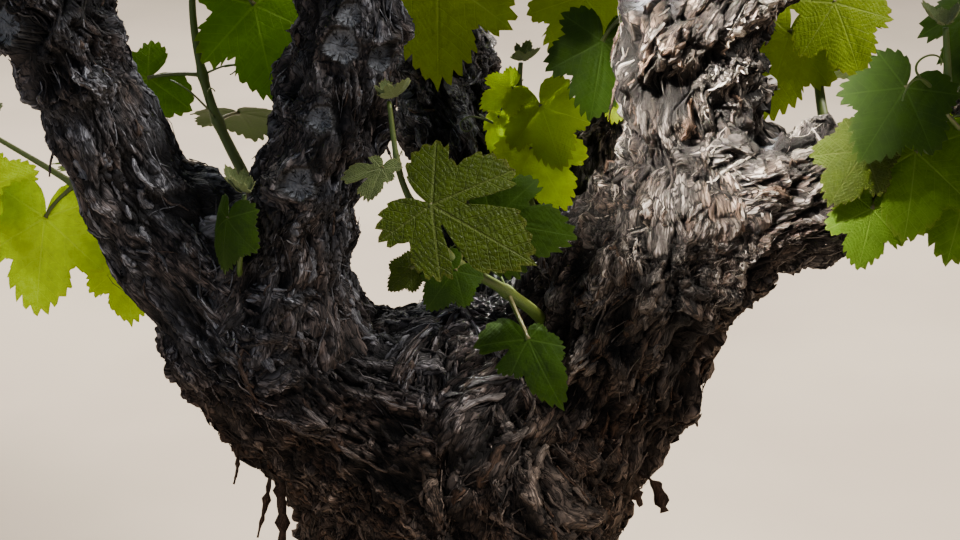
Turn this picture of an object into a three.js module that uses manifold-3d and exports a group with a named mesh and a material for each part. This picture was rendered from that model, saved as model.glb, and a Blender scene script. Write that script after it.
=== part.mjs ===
// An old bush-trained grapevine in spring leaf, in millimetres, +Z up.
// The origin is the middle of the flat cut under the trunk, at ground level. +Y runs from the
// side with the freed young shoot, between the two main limbs, towards the back of the plant.
// A short thick trunk carries two swollen limbs. They fork into six arms, and each arm ends in
// a woody stub with two pruned spurs, from which the green shoots grow.
import * as THREE from "three";
import { mergeVertices } from "three/addons/utils/BufferGeometryUtils.js";
import Module from "manifold-3d";

// Driving dimensions.
const GAP = 0.3; // clearance between two pieces that meet
const LIMB_SIDES = 12;
const TRUNK_SIDES = 28; // enough for the ropes
const LIMB_RING_SPACING = 20;
const STEM_SIDES = 3;
const STUB_SIDES = 6;
const LEAF_THICKNESS_SHARE = 0.022; // of a leaf's length, at its middle
const LEAF_FOLD = 0.16; // how far the lobes' tips sink below the middle, as a share of the length
const PETIOLE_RADIUS = 1.2;
const SPACE_MARGIN = 0.6; // a leaf stays this far inside its mass's own space
const LIMB_MARGIN = 1.5; // and this far off any limb
const LEAVES_APART = 0.34; // least distance between two leaves' middles, as a share of their lengths
const FLARE_HEIGHT = 62; // the root flare dies away over this height
const FLARE_SHARE = 0.3;
const TIP_ROUNDING = 0.7; // how far a limb's rounded tip stands out, as a share of its radius
// Ropes of wood that wind up the trunk: how many, how high, how far they wind round it, and how
// far each one sways to either side.
const ROPES = { count: 8, height: 4.5, turns: 0.3, sway: 1.1 };
// Knobs on the other limbs: how many round a limb, how high, how far apart along it, and over
// what length and how far their rows sway.
const KNOBS = { count: 3, height: 3, apart: 54, swayLength: 140, sway: 1.5 };

// Old wood: each limb's axis passes through these points, with this radius at each of them.
const LIMBS = {
  trunk: {
    through: [[0, 0, 0], [-7, 5, 75], [-5, 4, 150], [0, 1, 228], [6, 0, 284], [4, 2, 326]],
    radius: [82, 80, 77, 83, 84, 62],
  },
  left_limb: {
    through: [[-8, 0, 258], [-44, -3, 297], [-80, -6, 334], [-114, -10, 374]],
    radius: [58, 54, 50, 45],
  },
  right_limb: {
    through: [[6, 0, 262], [48, -4, 318], [82, -8, 366], [106, -10, 408], [120, -10, 434]],
    radius: [60, 55, 50, 46, 38],
  },
  left_arm: {
    through: [[-112, -10, 368], [-149, -14, 416], [-168, -20, 452], [-181, -28, 498], [-190, -35, 528],
      [-197, -42, 560], [-206, -48, 592]],
    radius: [38, 32, 29, 27, 28, 28, 20],
  },
  centre_arm: {
    through: [[-98, -18, 364], [-84, -25, 414], [-75, -28, 452], [-62, -27, 486], [-55, -25, 520],
      [-53, -20, 554], [-52, -12, 590]],
    radius: [33, 28, 28, 28, 25, 24, 18],
  },
  upper_right_arm: {
    through: [[120, -10, 424], [121, -10, 466], [116, -8, 498], [119, -6, 526], [140, -2, 549], [166, 4, 570],
      [188, 9, 592]],
    radius: [38, 31, 35, 36, 30, 25, 19],
  },
  lower_right_arm: {
    through: [[122, -10, 424], [152, -8, 434], [178, -5, 440], [203, 0, 447], [224, 3, 458]],
    radius: [40, 36, 34, 30, 20],
  },
  back_right_arm: {
    through: [
      [56, 26, 344], [76, 68, 398], [92, 104, 440], [108, 130, 470], [120, 148, 500],
      [128, 162, 532],
    ],
    radius: [34, 30, 28, 27, 25, 18],
  },
  back_left_arm: {
    through: [
      [10, 38, 312], [18, 84, 366], [9, 120, 412], [-4, 144, 448], [-12, 156, 482],
      [-18, 166, 514],
    ],
    radius: [36, 31, 29, 28, 26, 18],
  },
};

// Swellings of the old wood: how far along a limb (0 to 1), at which angle round it (0 is +X,
// 90 is +Y), how high and how wide they are.
const BURLS = [
  { limb: "trunk", along: 0.78, around: -60, height: 12, width: 42 },
  { limb: "trunk", along: 0.62, around: 20, height: 13, width: 34 },
  { limb: "trunk", along: 0.5, around: 150, height: 10, width: 40 },
  { limb: "trunk", along: 0.35, around: -120, height: 9, width: 36 },
  { limb: "trunk", along: 0.24, around: -30, height: 10, width: 30 },
  { limb: "trunk", along: 0.42, around: -75, height: -9, width: 24 },
  { limb: "left_limb", along: 0.62, around: 200, height: 8, width: 34 },
  { limb: "left_limb", along: 0.9, around: -80, height: 6, width: 30 },
  { limb: "right_limb", along: 0.42, around: -5, height: 14, width: 30 },
  { limb: "right_limb", along: 0.78, around: -75, height: 10, width: 26 },
  { limb: "right_limb", along: 0.62, around: 170, height: 6, width: 26 },
  { limb: "left_arm", along: 0.76, around: 200, height: 8, width: 17 },
  { limb: "left_arm", along: 0.24, around: 40, height: 6, width: 20 },
  { limb: "left_arm", along: 0.12, around: -5, height: 14, width: 30 },
  { limb: "centre_arm", along: 0.12, around: 185, height: 10, width: 26 },
  { limb: "centre_arm", along: 0.33, around: -118, height: 8, width: 19 },
  { limb: "centre_arm", along: 0.55, around: 10, height: 5, width: 17 },
  { limb: "centre_arm", along: 0.72, around: -40, height: 5, width: 14 },
  { limb: "upper_right_arm", along: 0.5, around: 190, height: 5, width: 20 },
  { limb: "upper_right_arm", along: 0.3, around: -20, height: 6, width: 18 },
  { limb: "lower_right_arm", along: 0.45, around: 100, height: 6, width: 18 },
  { limb: "lower_right_arm", along: 0.7, around: -70, height: 7, width: 20 },
  { limb: "back_right_arm", along: 0.55, around: 60, height: 6, width: 20 },
  { limb: "back_left_arm", along: 0.5, around: 200, height: 7, width: 20 },
];

// Old saw cuts: a flat disc of this radius at this point of a limb, facing this way.
const SAW_CUTS = [
  { limb: "centre_arm", at: [-79, -59, 459], facing: [-0.3, -0.92, 0.24], radius: 11 },
  { limb: "left_arm", at: [-212, -60, 545], facing: [-0.62, -0.7, 0.35], radius: 12 },
  { limb: "upper_right_arm", at: [98, -16, 550], facing: [-0.6, -0.22, 0.77], radius: 26 },
  { limb: "lower_right_arm", at: [152, -10, 471], facing: [-0.08, -0.12, 0.99], radius: 15 },
];

// Crown masses, each at an arm's tip: a stub runs on from the arm, and two spurs lean apart from it
// across the bearing "spread" (degrees, 0 is +X, 90 is +Y). "lean" is how far the shoots lean
// outwards along the bearing "away". A mass keeps to the space round the line from its arm's tip
// to its "top".
const CROWNS = [
  { arm: "left_arm", seed: 11, spread: 95, away: 195, lean: 0.62, top: [-330, -85, 800] },
  { arm: "centre_arm", seed: 23, spread: 15, away: 262, lean: 0.3, top: [-72, -90, 850] },
  { arm: "upper_right_arm", seed: 37, spread: 40, away: 300, lean: 0.34, top: [200, -110, 840] },
  { arm: "lower_right_arm", seed: 41, spread: 75, away: 350, lean: 0.75, top: [400, -15, 620] },
  { arm: "back_right_arm", seed: 53, spread: 130, away: 45, lean: 0.55, top: [235, 270, 800] },
  { arm: "back_left_arm", seed: 67, spread: 20, away: 110, lean: 0.5, top: [-95, 280, 800] },
];
const STUB = { length: 34, radius: 11, taper: 0.85, sunk: 12 };
const SPUR = { length: 44, radius: 6.5, taper: 0.8, apart: 0.62, climb: 0.3 };
const BUDS = [[1, 0.5], [1, 0.92], [-1, 0.88]]; // each shoot's spur and how far up it
const LOW_BUD = 0.7; // a shoot from lower on its spur leans further out
const SHOOT = {
  radius: 3.4, tipRadius: 1.2, nodes: 7, internode: 37,
  climb: 0.1, // how fast it bends upwards at each node
  zigzag: 0.14, // how far it turns away from each node's leaf
  apart: 0.6, // how much further out a lower shoot leans
  fan: [30, 80], // its bearing, to either side of the mass's own
};
const LEAF_LENGTH = 67; // from the petiole to the tip of the middle lobe, on a full-grown leaf
const PETIOLE_LENGTH = 46;
// Internodes and leaves are small at a shoot's foot, largest in the middle and tiny at its tip.
const INTERNODE_SHARE = [0.55, 0.9, 1.15, 1.25, 1.15, 0.85, 0.5];
const LEAF_SHARE = [0.74, 0.96, 1.06, 1.0, 0.86, 0.64, 0.38];

// Water shoots on the old wood: the stem's points and its radius at both ends. A leaf's row holds
// the point where its petiole meets it, the way its middle lobe points, the way its upper face
// looks, and its length.
const WATER_SHOOTS = [
  {
    name: "young_shoot",
    stem: [
      [50, -24, 370], [38, -46, 392], [20, -62, 412], [-2, -72, 430], [-17, -73, 452],
      [-27, -69, 474], [-32, -57, 506],
    ],
    radius: [4.4, 1.2],
    leaves: [
      [[-11, -86, 463], [0.86, -0.1, -0.5], [-0.02, -0.86, 0.5], 53],
      [[18, -66, 448], [0.9, 0.05, -0.2], [0.12, -0.84, 0.52], 40],
      [[-28, -80, 474], [-0.75, -0.2, -0.5], [-0.1, -0.8, 0.55], 20],
      [[0, -78, 426], [-0.6, -0.3, -0.7], [-0.1, -0.8, 0.6], 25],
      [[26, -72, 390], [0.6, -0.3, -0.75], [0.2, -0.7, 0.7], 38],
      [[-22, -70, 424], [-0.7, -0.2, -0.6], [-0.2, -0.75, 0.6], 16],
    ],
  },
  {
    name: "crotch_leaf",
    stem: [[-118, -36, 398], [-119, -54, 416], [-114, -58, 438], [-106, -56, 458]],
    radius: [2.2, 1.4],
    leaves: [[[-107, -64, 446], [-0.15, -0.3, -0.95], [-0.35, -0.85, 0.3], 29]],
  },
  {
    name: "left_shoot",
    stem: [[-122, 10, 366], [-146, 42, 376], [-178, 56, 396], [-216, 64, 422], [-264, 72, 450]],
    radius: [4, 1.3],
    leaves: [
      [[-187, 60, 376], [0.05, -0.2, -0.95], [0.1, -0.9, 0.4], 36],
      [[-230, 58, 403], [-0.1, -0.3, -0.95], [-0.1, -0.88, 0.45], 54],
      [[-264, 74, 416], [0.7, -0.15, -0.45], [0.1, -0.82, 0.55], 38],
      [[-206, 104, 418], [0.2, 0.9, -0.4], [0.1, 0.4, 0.9], 44],
      [[-270, 88, 452], [-0.7, 0.3, 0.2], [-0.3, -0.4, 0.85], 26],
    ],
  },
  {
    name: "left_back_shoot",
    stem: [[-96, 30, 378], [-114, 66, 412], [-138, 90, 456], [-148, 102, 502], [-146, 106, 548]],
    radius: [4.2, 1.5],
    leaves: [
      [[-113, 98, 514], [0.2, -0.25, -0.95], [0.05, -0.9, 0.42], 54],
      [[-176, 104, 470], [-0.75, 0.1, -0.6], [-0.2, -0.75, 0.6], 46],
      [[-118, 92, 562], [0.75, -0.2, -0.45], [0.15, -0.8, 0.6], 44],
      [[-178, 120, 545], [-0.8, 0.35, -0.3], [-0.2, -0.4, 0.88], 46],
      [[-128, 122, 444], [0.1, 0.8, -0.5], [0, 0.5, 0.86], 44],
    ],
  },
  {
    name: "back_shoot",
    stem: [[60, 52, 376], [46, 56, 396], [37, 59, 420], [34, 60, 448], [33, 60, 473], [34, 59, 492]],
    radius: [3.8, 1.3],
    leaves: [
      [[45, 50, 470], [0.3, -0.15, -0.93], [0.05, -0.9, 0.42], 36],
      [[31, 46, 448], [0.6, -0.2, -0.78], [0.1, -0.85, 0.5], 38],
      [[29, 54, 479], [-0.8, -0.1, -0.5], [-0.1, -0.85, 0.5], 20],
      [[22, 62, 460], [-0.4, -0.2, -0.85], [-0.75, -0.55, 0.35], 20],
    ],
  },
  {
    name: "inner_left_shoot",
    stem: [[-50, -4, 548], [-38, 22, 560], [-26, 40, 574], [-18, 50, 592]],
    radius: [3.6, 1.5],
    leaves: [
      [[-10, 38, 546], [0, -0.2, -0.97], [0.06, -0.92, 0.38], 58],
      [[4, 56, 600], [0.75, 0.1, -0.4], [0.2, -0.6, 0.75], 42],
      [[-40, 66, 604], [-0.6, 0.6, -0.3], [-0.1, 0.3, 0.94], 38],
    ],
  },
  {
    name: "inner_right_shoot",
    stem: [[112, 6, 496], [100, 34, 516], [84, 50, 536], [76, 58, 562]],
    radius: [3.6, 1.5],
    leaves: [
      [[67, 54, 530], [-0.3, -0.15, -0.92], [-0.05, -0.92, 0.38], 40],
      [[77, 44, 508], [-0.15, -0.2, -0.95], [0.05, -0.92, 0.38], 42],
      [[88, 40, 486], [-0.25, -0.1, -0.95], [0.1, -0.9, 0.4], 22],
      [[60, 76, 572], [-0.6, 0.6, -0.3], [-0.2, 0.3, 0.92], 40],
    ],
  },
  {
    name: "right_low_shoot",
    stem: [[212, -10, 452], [228, -32, 464], [238, -42, 486], [240, -44, 512], [238, -40, 538]],
    radius: [4, 1.5],
    leaves: [
      [[218, -52, 511], [-0.5, -0.25, -0.8], [-0.05, -0.8, 0.6], 42],
      [[202, -46, 477], [-0.55, -0.3, -0.78], [-0.1, -0.85, 0.5], 33],
      [[228, -42, 475], [-0.1, -0.25, -0.96], [0.05, -0.9, 0.42], 45],
      [[208, -45, 446], [-0.2, -0.25, -0.95], [0, -0.9, 0.44], 31],
      [[260, -28, 466], [-0.22, -0.2, -0.95], [0.1, -0.9, 0.42], 54],
    ],
  },
  {
    name: "right_back_shoot",
    stem: [[196, 6, 456], [194, 34, 474], [192, 52, 502], [194, 60, 536]],
    radius: [3.6, 1.5],
    leaves: [
      [[176, 46, 512], [-0.25, -0.15, -0.94], [-0.05, -0.92, 0.38], 48],
      [[198, 40, 530], [0.35, -0.15, -0.9], [0.1, -0.92, 0.38], 42],
      [[182, 72, 552], [-0.5, 0.5, -0.5], [-0.2, 0.4, 0.9], 44],
      [[216, 70, 484], [0.6, 0.5, -0.6], [0.3, 0.3, 0.9], 40],
    ],
  },
];

// A leaf's outline: the angle from its middle lobe and the distance from the petiole, as a share
// of the length. Five lobes have sinuses between them, and the outer lobes end at the petiole.
const HALF_OUTLINE = [[28, 0.6], [56, 0.78], [86, 0.52], [124, 0.64]];
const OUTLINE = [...HALF_OUTLINE.map(([a, share]) => [-a, share]).reverse(), [0, 1], ...HALF_OUTLINE];
const OUTLINE_MIDDLE = 0.3; // the leaf is thickest this far up its middle lobe
const CLEARLY_BEHIND = 0.35; // least cosine between a placed leaf's petiole and its middle lobe

const COLOURS = { wood: 0x5b4c42, leaf: 0x6f9a2c };

const wasm = await Module();
wasm.setup();

const vec = (p) => new THREE.Vector3(...p);
const UP = vec([0, 0, 1]);
const BACK = vec([0, 1, 0]);
const radians = THREE.MathUtils.degToRad;
const bearing = (degrees) => vec([Math.cos(radians(degrees)), Math.sin(radians(degrees)), 0]);
const ahead = (from, direction, distance) => from.clone().addScaledVector(direction, distance);

// A seeded row of numbers from 0 to 1: each is 48271 times the last, modulo 2^31 - 1.
class Dice {
  constructor(seed) {
    this.state = (seed * 7919) % 2147483647;
    for (let i = 0; i < 3; i++) this.roll();
  }
  roll() {
    this.state = (this.state * 48271) % 2147483647;
    return this.state / 2147483647;
  }
  between(low, high) {
    return low + (high - low) * this.roll();
  }
}

// A solid of manifold-3d from a three.js geometry that is one closed surface.
function solidFrom(geometry) {
  geometry.deleteAttribute("normal");
  geometry.deleteAttribute("uv");
  const merged = mergeVertices(geometry, 1e-4);
  return new wasm.Manifold(new wasm.Mesh({
    numProp: 3,
    vertProperties: merged.attributes.position.array,
    triVerts: new Uint32Array(merged.index.array),
  }));
}

// The solid back as a three.js geometry.
function geometryFrom(solid) {
  const mesh = solid.getMesh();
  const geometry = new THREE.BufferGeometry();
  geometry.setAttribute("position", new THREE.BufferAttribute(mesh.vertProperties, 3));
  geometry.setIndex(new THREE.BufferAttribute(mesh.triVerts, 1));
  geometry.computeVertexNormals();
  return geometry;
}

// The closed skin over rings of equally many points, with a fan over each end ring.
function skin(rings) {
  const sides = rings[0].length;
  const faces = [];
  for (let i = 0; i + 1 < rings.length; i++)
    for (let k = 0; k < sides; k++) {
      const [a, b] = [i * sides + k, i * sides + ((k + 1) % sides)];
      faces.push(a, b, b + sides, a, b + sides, a + sides);
    }
  const end = (rings.length - 1) * sides;
  for (let k = 1; k + 1 < sides; k++) faces.push(0, k + 1, k, end, end + k, end + k + 1);
  const geometry = new THREE.BufferGeometry().setFromPoints(rings.flat());
  geometry.setIndex(faces);
  return solidFrom(geometry);
}

// Two directions square to a tangent: the first is +X and the second +Y where it runs straight up.
function squareTo(tangent) {
  const first = new THREE.Vector3().crossVectors(BACK, tangent).normalize();
  return [first, new THREE.Vector3().crossVectors(tangent, first)];
}

// A plain tapering tube through the points, from radius r0 to radius r1.
function tube(points, r0, r1, sides) {
  return skin(points.map((p, i) => {
    const before = points[Math.max(i - 1, 0)];
    const after = points[Math.min(i + 1, points.length - 1)];
    const [first, second] = squareTo(after.clone().sub(before).normalize());
    const radius = THREE.MathUtils.lerp(r0, r1, i / (points.length - 1));
    return Array.from({ length: sides }, (_, k) => {
      const angle = (2 * Math.PI * k) / sides;
      return ahead(ahead(p, first, radius * Math.cos(angle)), second, radius * Math.sin(angle));
    });
  }));
}

// A limb's radius at an angle round it: three slow waves, the burls and either the knobs or, on the
// trunk, the flare and the ropes.
function limbRadius(name, t, length, angle, plain, waves) {
  let share = 1;
  for (const { lobes, height, phase, twist } of waves)
    share += height * Math.cos(lobes * angle + phase + twist * t);
  let radius = plain * share;
  for (const burl of BURLS.filter((b) => b.limb === name)) {
    const apart = angle - THREE.MathUtils.degToRad(burl.around);
    const across = plain * Math.acos(Math.min(1, Math.cos(apart)));
    const down = (t - burl.along) * length;
    radius += burl.height * Math.exp(-(across * across + down * down) / (burl.width * burl.width));
  }
  if (name === "trunk") {
    const low = Math.exp(-(t * length) / FLARE_HEIGHT);
    const toes = 0.75 + 0.25 * Math.cos(5 * angle + 1.2) + 0.15 * Math.cos(2 * angle);
    radius += plain * FLARE_SHARE * low * toes;
    const sway = ROPES.sway * Math.sin(2 * angle + 5 * t) + 0.5 * ROPES.sway * Math.sin(3 * angle - 9 * t);
    radius += ROPES.height * Math.cos(ROPES.count * angle + 2 * Math.PI * ROPES.turns * t + sway);
  } else {
    const along = 2 * Math.PI * t * length;
    const row = Math.cos(KNOBS.count * angle + KNOBS.sway * Math.sin(along / KNOBS.swayLength));
    radius += KNOBS.height * row * Math.cos(along / KNOBS.apart + 2 * Math.sin(2 * angle));
  }
  return radius;
}

// The waves of a limb's section, from the limb's place in the list.
function wavesOf(name) {
  const dice = new Dice(101 + 17 * Object.keys(LIMBS).indexOf(name));
  return [2, 3, 5].map((lobes) => ({
    lobes,
    height: dice.between(0.6, 1) * 0.1 / lobes,
    phase: dice.between(0, 2 * Math.PI),
    twist: dice.between(-3, 3),
  }));
}

// One limb of old wood, grown all round by a clearance where another piece is to be cut by it.
function limbSolid(name, grown = 0) {
  const { through, radius } = LIMBS[name];
  const axis = new THREE.CatmullRomCurve3(through.map(vec), false, "catmullrom", 0.5);
  const taper = new THREE.SplineCurve(radius.map((r, i) => new THREE.Vector2(i, r)));
  const length = axis.getLength();
  const waves = wavesOf(name);
  const count = Math.max(4, Math.round(length / LIMB_RING_SPACING));
  const sides = name === "trunk" ? TRUNK_SIDES : LIMB_SIDES;
  const ring = (t, shrink, onward) => {
    const tangent = axis.getTangent(t);
    const [first, second] = squareTo(tangent);
    const centre = ahead(axis.getPoint(t), tangent, onward);
    const plain = taper.getPoint(t).y;
    return Array.from({ length: sides }, (_, k) => {
      const angle = (2 * Math.PI * k) / sides;
      const r = (limbRadius(name, t, length, angle, plain, waves) + grown) * shrink;
      return ahead(ahead(centre, first, r * Math.cos(angle)), second, r * Math.sin(angle));
    });
  };
  const rings = Array.from({ length: count + 1 }, (_, i) => ring(i / count, 1, 0));
  const tip = radius.at(-1) + grown;
  for (const slope of [35, 65].map(radians))
    rings.push(ring(1, Math.cos(slope), TIP_ROUNDING * tip * Math.sin(slope)));
  if (name === "trunk") rings[0].forEach((p) => (p.z = 0));
  return skin(rings);
}

// The tool that saws a flat disc: a short cylinder standing on the cut.
function sawTool({ at, facing, radius }) {
  const height = 60;
  const tool = new THREE.CylinderGeometry(radius * 1.25, radius, height, 20);
  tool.rotateX(Math.PI / 2);
  tool.applyQuaternion(new THREE.Quaternion().setFromUnitVectors(UP, vec(facing).normalize()));
  const middle = ahead(vec(at), vec(facing).normalize(), height / 2);
  return solidFrom(tool.translate(middle.x, middle.y, middle.z));
}

// The largest body of a solid, so that no loose scrap is kept.
function largestOf(solid) {
  return solid.decompose().reduce((best, body) => (body.volume() > best.volume() ? body : best));
}

// All limbs, each cut clear of the ones before it, and the same limbs grown by the clearance.
function buildLimbs() {
  const limbs = new Map();
  const grownSoFar = [];
  for (const name of Object.keys(LIMBS)) {
    let solid = limbSolid(name);
    for (const grown of grownSoFar) solid = solid.subtract(grown);
    for (const cut of SAW_CUTS.filter((c) => c.limb === name)) solid = solid.subtract(sawTool(cut));
    limbs.set(name, largestOf(solid));
    grownSoFar.push(limbSolid(name, GAP));
  }
  return { limbs, grown: wasm.Manifold.union(grownSoFar) };
}

// How far a point lies outside the nearest limb's plain radius, less than nothing inside it.
const AXES = Object.entries(LIMBS).map(([, { through, radius }]) => ({ points: through.map(vec), radius }));
function clearOfLimbs(point) {
  let nearest = Infinity;
  for (const { points, radius } of AXES)
    for (let i = 0; i + 1 < points.length; i++) {
      const piece = new THREE.Line3(points[i], points[i + 1]);
      const t = piece.closestPointToPointParameter(point, true);
      const away = piece.at(t, new THREE.Vector3()).distanceTo(point);
      nearest = Math.min(nearest, away - THREE.MathUtils.lerp(radius[i], radius[i + 1], t) * 1.06);
    }
  return nearest;
}

// A leaf's own directions and the points of its rim. The petiole meets it at "at", "tip" is the
// way of its middle lobe, "face" the way its upper side looks.
function leafShape({ at, tip, face, length }) {
  const normal = face.clone().normalize();
  const forward = tip.clone().addScaledVector(normal, -tip.dot(normal)).normalize();
  const side = new THREE.Vector3().crossVectors(normal, forward);
  const rim = OUTLINE.map(([degrees, share]) => {
    const angle = THREE.MathUtils.degToRad(degrees);
    const reach = share * length;
    const p = ahead(ahead(at, forward, reach * Math.cos(angle)), side, reach * Math.sin(angle));
    return ahead(p, normal, -LEAF_FOLD * length * share * share);
  });
  return { normal, forward, side, rim };
}

// A leaf with its petiole, as one closed skin. The blade is two low fans over its rim, thickest at
// the middle. Between its last lobes it opens into the three-sided petiole, whose third side
// stands on whichever face looks at the stem, and which runs to its foot inside the stem.
function leafSolid(foot, leaf) {
  const { normal, forward, side, rim } = leafShape(leaf);
  const middle = ahead(leaf.at, forward, OUTLINE_MIDDLE * leaf.length);
  const half = (LEAF_THICKNESS_SHARE * leaf.length) / 2;
  const way = foot.clone().sub(leaf.at).normalize();
  const upper = way.dot(normal) > 0;
  const third = new THREE.Vector3().crossVectors(side, way).normalize().multiplyScalar(upper ? 1 : -1);
  const r = PETIOLE_RADIUS;
  const ridgeAt = ahead(leaf.at, normal, upper ? r : -r);
  const opening = [ahead(leaf.at, side, r), ahead(leaf.at, side, -r), ridgeAt];
  const end = [ahead(foot, side, r), ahead(foot, side, -r), ahead(foot, third, r)];
  const points = [...rim, ...opening, ahead(middle, normal, half), ahead(middle, normal, -half), ...end];
  const [left, right, ridge, top, bottom] = [0, 1, 2, 3, 4].map((i) => rim.length + i);
  const edge = [right, ...rim.keys(), left];
  const faces = edge.slice(1).flatMap((b, i) => [top, edge[i], b, bottom, b, edge[i]]);
  if (upper) faces.push(top, left, ridge, top, ridge, right, bottom, right, left);
  else faces.push(top, left, right, bottom, right, ridge, bottom, ridge, left);
  const loop = upper ? [left, right, ridge] : [right, left, ridge];
  const onFoot = (i) => i + 5;
  loop.forEach((a, i) => {
    const b = loop[(i + 1) % 3];
    faces.push(a, b, onFoot(b), a, onFoot(b), onFoot(a));
  });
  faces.push(...loop.map(onFoot));
  const geometry = new THREE.BufferGeometry().setFromPoints(points);
  geometry.setIndex(faces);
  return solidFrom(geometry);
}

// Each mass's line. A point belongs to the space of the mass whose line is nearest.
const CROWN_MASSES = CROWNS.map((crown) => ({ name: crown.arm.replace("arm", "foliage"), ...crown }));
const LINES = new Map([
  ...CROWN_MASSES.map(({ name, arm, top }) => [name, [LIMBS[arm].through.at(-1), top]]),
  ...WATER_SHOOTS.map(({ name, stem }) => [name, [stem[0], stem.at(-1)]]),
].map(([name, [from, to]]) => [name, new THREE.Line3(vec(from), vec(to))]));
function inSpaceOf(name, point) {
  const away = (line) => line.closestPointToPoint(point, true, new THREE.Vector3()).distanceTo(point);
  const own = away(LINES.get(name));
  return [...LINES].every(([other, line]) => other === name || own + SPACE_MARGIN < away(line));
}

// Whether a whole leaf keeps to its mass's space, off the limbs and off the mass's other leaves.
function leafFits(name, leaf, others) {
  const middleOf = (l) => ahead(l.at, l.tip.clone().normalize(), OUTLINE_MIDDLE * l.length);
  const least = (other) => LEAVES_APART * (leaf.length + other.length);
  const apart = (other) => middleOf(leaf).distanceTo(middleOf(other)) > least(other);
  const free = (p) => inSpaceOf(name, p) && clearOfLimbs(p) > LIMB_MARGIN;
  return leafShape(leaf).rim.concat(leaf.at).every(free) && others.every(apart);
}

// One green shoot by the seeded rule: it zigzags and bends upwards, with a leaf at each node, left
// and right in turn. A leaf that doesn't fit is turned on its node, then tried smaller, and then
// left out.
function growShoot(name, root, heading, dice, others) {
  const stem = [root];
  const leaves = [];
  const way = heading.clone().normalize();
  const flat = dice.between(0, Math.PI);
  const vigour = dice.between(0.85, 1.12);
  for (let node = 0; node < SHOOT.nodes; node++) {
    const left = node % 2 ? 1 : -1;
    const across = bearing(THREE.MathUtils.radToDeg(flat) + 90 - 90 * left);
    way.addScaledVector(UP, SHOOT.climb).addScaledVector(across, -SHOOT.zigzag).normalize();
    const next = ahead(stem.at(-1), way, SHOOT.internode * INTERNODE_SHARE[node] * vigour);
    if (!inSpaceOf(name, next)) break;
    stem.push(next);
    const share = LEAF_SHARE[node] * vigour * dice.between(0.88, 1.1);
    const [swing, droop, roll] = [dice.between(-35, 35), dice.between(0.2, 0.95), dice.between(-0.3, 0.3)];
    for (const turn of [0, 50, -50, 100, -100]) {
      const out = bearing(THREE.MathUtils.radToDeg(flat) + 90 - 90 * left + swing + turn);
      const lean = way.clone().multiplyScalar(0.6).add(out).normalize();
      const length = LEAF_LENGTH * share * (Math.abs(turn) > 60 ? 0.82 : 1);
      const at = ahead(next, lean, PETIOLE_LENGTH * (0.35 + 0.65 * share));
      const tip = out.clone().addScaledVector(UP, -droop).normalize();
      const sideways = new THREE.Vector3().crossVectors(UP, out);
      const face = UP.clone().addScaledVector(out, droop).addScaledVector(sideways, roll).normalize();
      const leaf = { at, tip, face, length };
      if (!leafFits(name, leaf, others)) continue;
      leaves.push({ foot: next, leaf });
      others.push(leaf);
      break;
    }
  }
  return { stem, leaves };
}

// A shoot's stem and leaves as solids.
function shootSolids({ stem, leaves }, r0, r1) {
  if (stem.length < 2) return [];
  return [tube(stem, r0, r1, STEM_SIDES), ...leaves.map(({ foot, leaf }) => leafSolid(foot, leaf))];
}

// A crown mass: the stub on the arm's tip, its two spurs and their shoots.
function crownSolids({ name, arm, seed, spread, away, lean }) {
  const dice = new Dice(seed);
  const placed = [];
  const [below, tip] = LIMBS[arm].through.slice(-2).map(vec);
  const onward = tip.clone().sub(below).normalize();
  const foot = ahead(tip, onward, STUB.length - SPUR.radius);
  const spurWay = (turn) => {
    const way = ahead(onward, bearing(spread), SPUR.apart * turn);
    return ahead(way, UP, SPUR.climb).normalize();
  };
  const stub = [ahead(tip, onward, -STUB.sunk), ahead(tip, onward, STUB.length)];
  const solids = [tube(stub, STUB.radius, STUB.radius * STUB.taper, STUB_SIDES)];
  for (const turn of [1, -1]) {
    const spur = [foot, ahead(foot, spurWay(turn), SPUR.length)];
    solids.push(tube(spur, SPUR.radius, SPUR.radius * SPUR.taper, STUB_SIDES));
  }
  for (const [turn, share] of BUDS) {
    const outwards = share < LOW_BUD ? lean + SHOOT.apart : lean;
    const side = bearing(away + turn * dice.between(...SHOOT.fan)).multiplyScalar(outwards);
    const heading = ahead(UP, spurWay(turn), 0.5).add(side);
    const root = ahead(foot, spurWay(turn), SPUR.length * share);
    const shoot = growShoot(name, root, heading, dice, placed);
    solids.push(...shootSolids(shoot, SHOOT.radius, SHOOT.tipRadius));
  }
  return solids;
}

// Where a placed leaf's petiole leaves the stem: the nearest point that lies behind the leaf.
function footBehind(path, leaf) {
  const { forward } = leafShape(leaf);
  const behind = (p) => -p.clone().sub(leaf.at).normalize().dot(forward);
  const clearlyBehind = path.slice(1).filter((p) => behind(p) > CLEARLY_BEHIND);
  const best = (points, value) => points.reduce((a, b) => (value(b) > value(a) ? b : a));
  const nearness = (p) => -p.distanceTo(leaf.at);
  return clearlyBehind.length ? best(clearlyBehind, nearness) : best(path.slice(1), behind);
}

// A water shoot: its stem through the given points and its leaves as they are placed.
function waterShootSolids({ stem, radius, leaves }) {
  const curve = new THREE.CatmullRomCurve3(stem.map(vec), false, "catmullrom", 0.5);
  const path = curve.getPoints(3 * stem.length);
  const placed = leaves.map(([at, tip, face, length]) => {
    const leaf = { at: vec(at), tip: vec(tip), face: vec(face), length };
    return { foot: footBehind(path, leaf), leaf };
  });
  return shootSolids({ stem: path, leaves: placed }, radius[0], radius[1]);
}

// A mass as one solid, cut clear of the limbs.
function massSolid(solids, grownLimbs) {
  return largestOf(wasm.Manifold.union(solids).subtract(grownLimbs));
}

const materials = {
  wood: new THREE.MeshStandardMaterial({ color: COLOURS.wood, roughness: 0.95, metalness: 0 }),
  leaf: new THREE.MeshStandardMaterial({ color: COLOURS.leaf, roughness: 0.55, metalness: 0 }),
};

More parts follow.
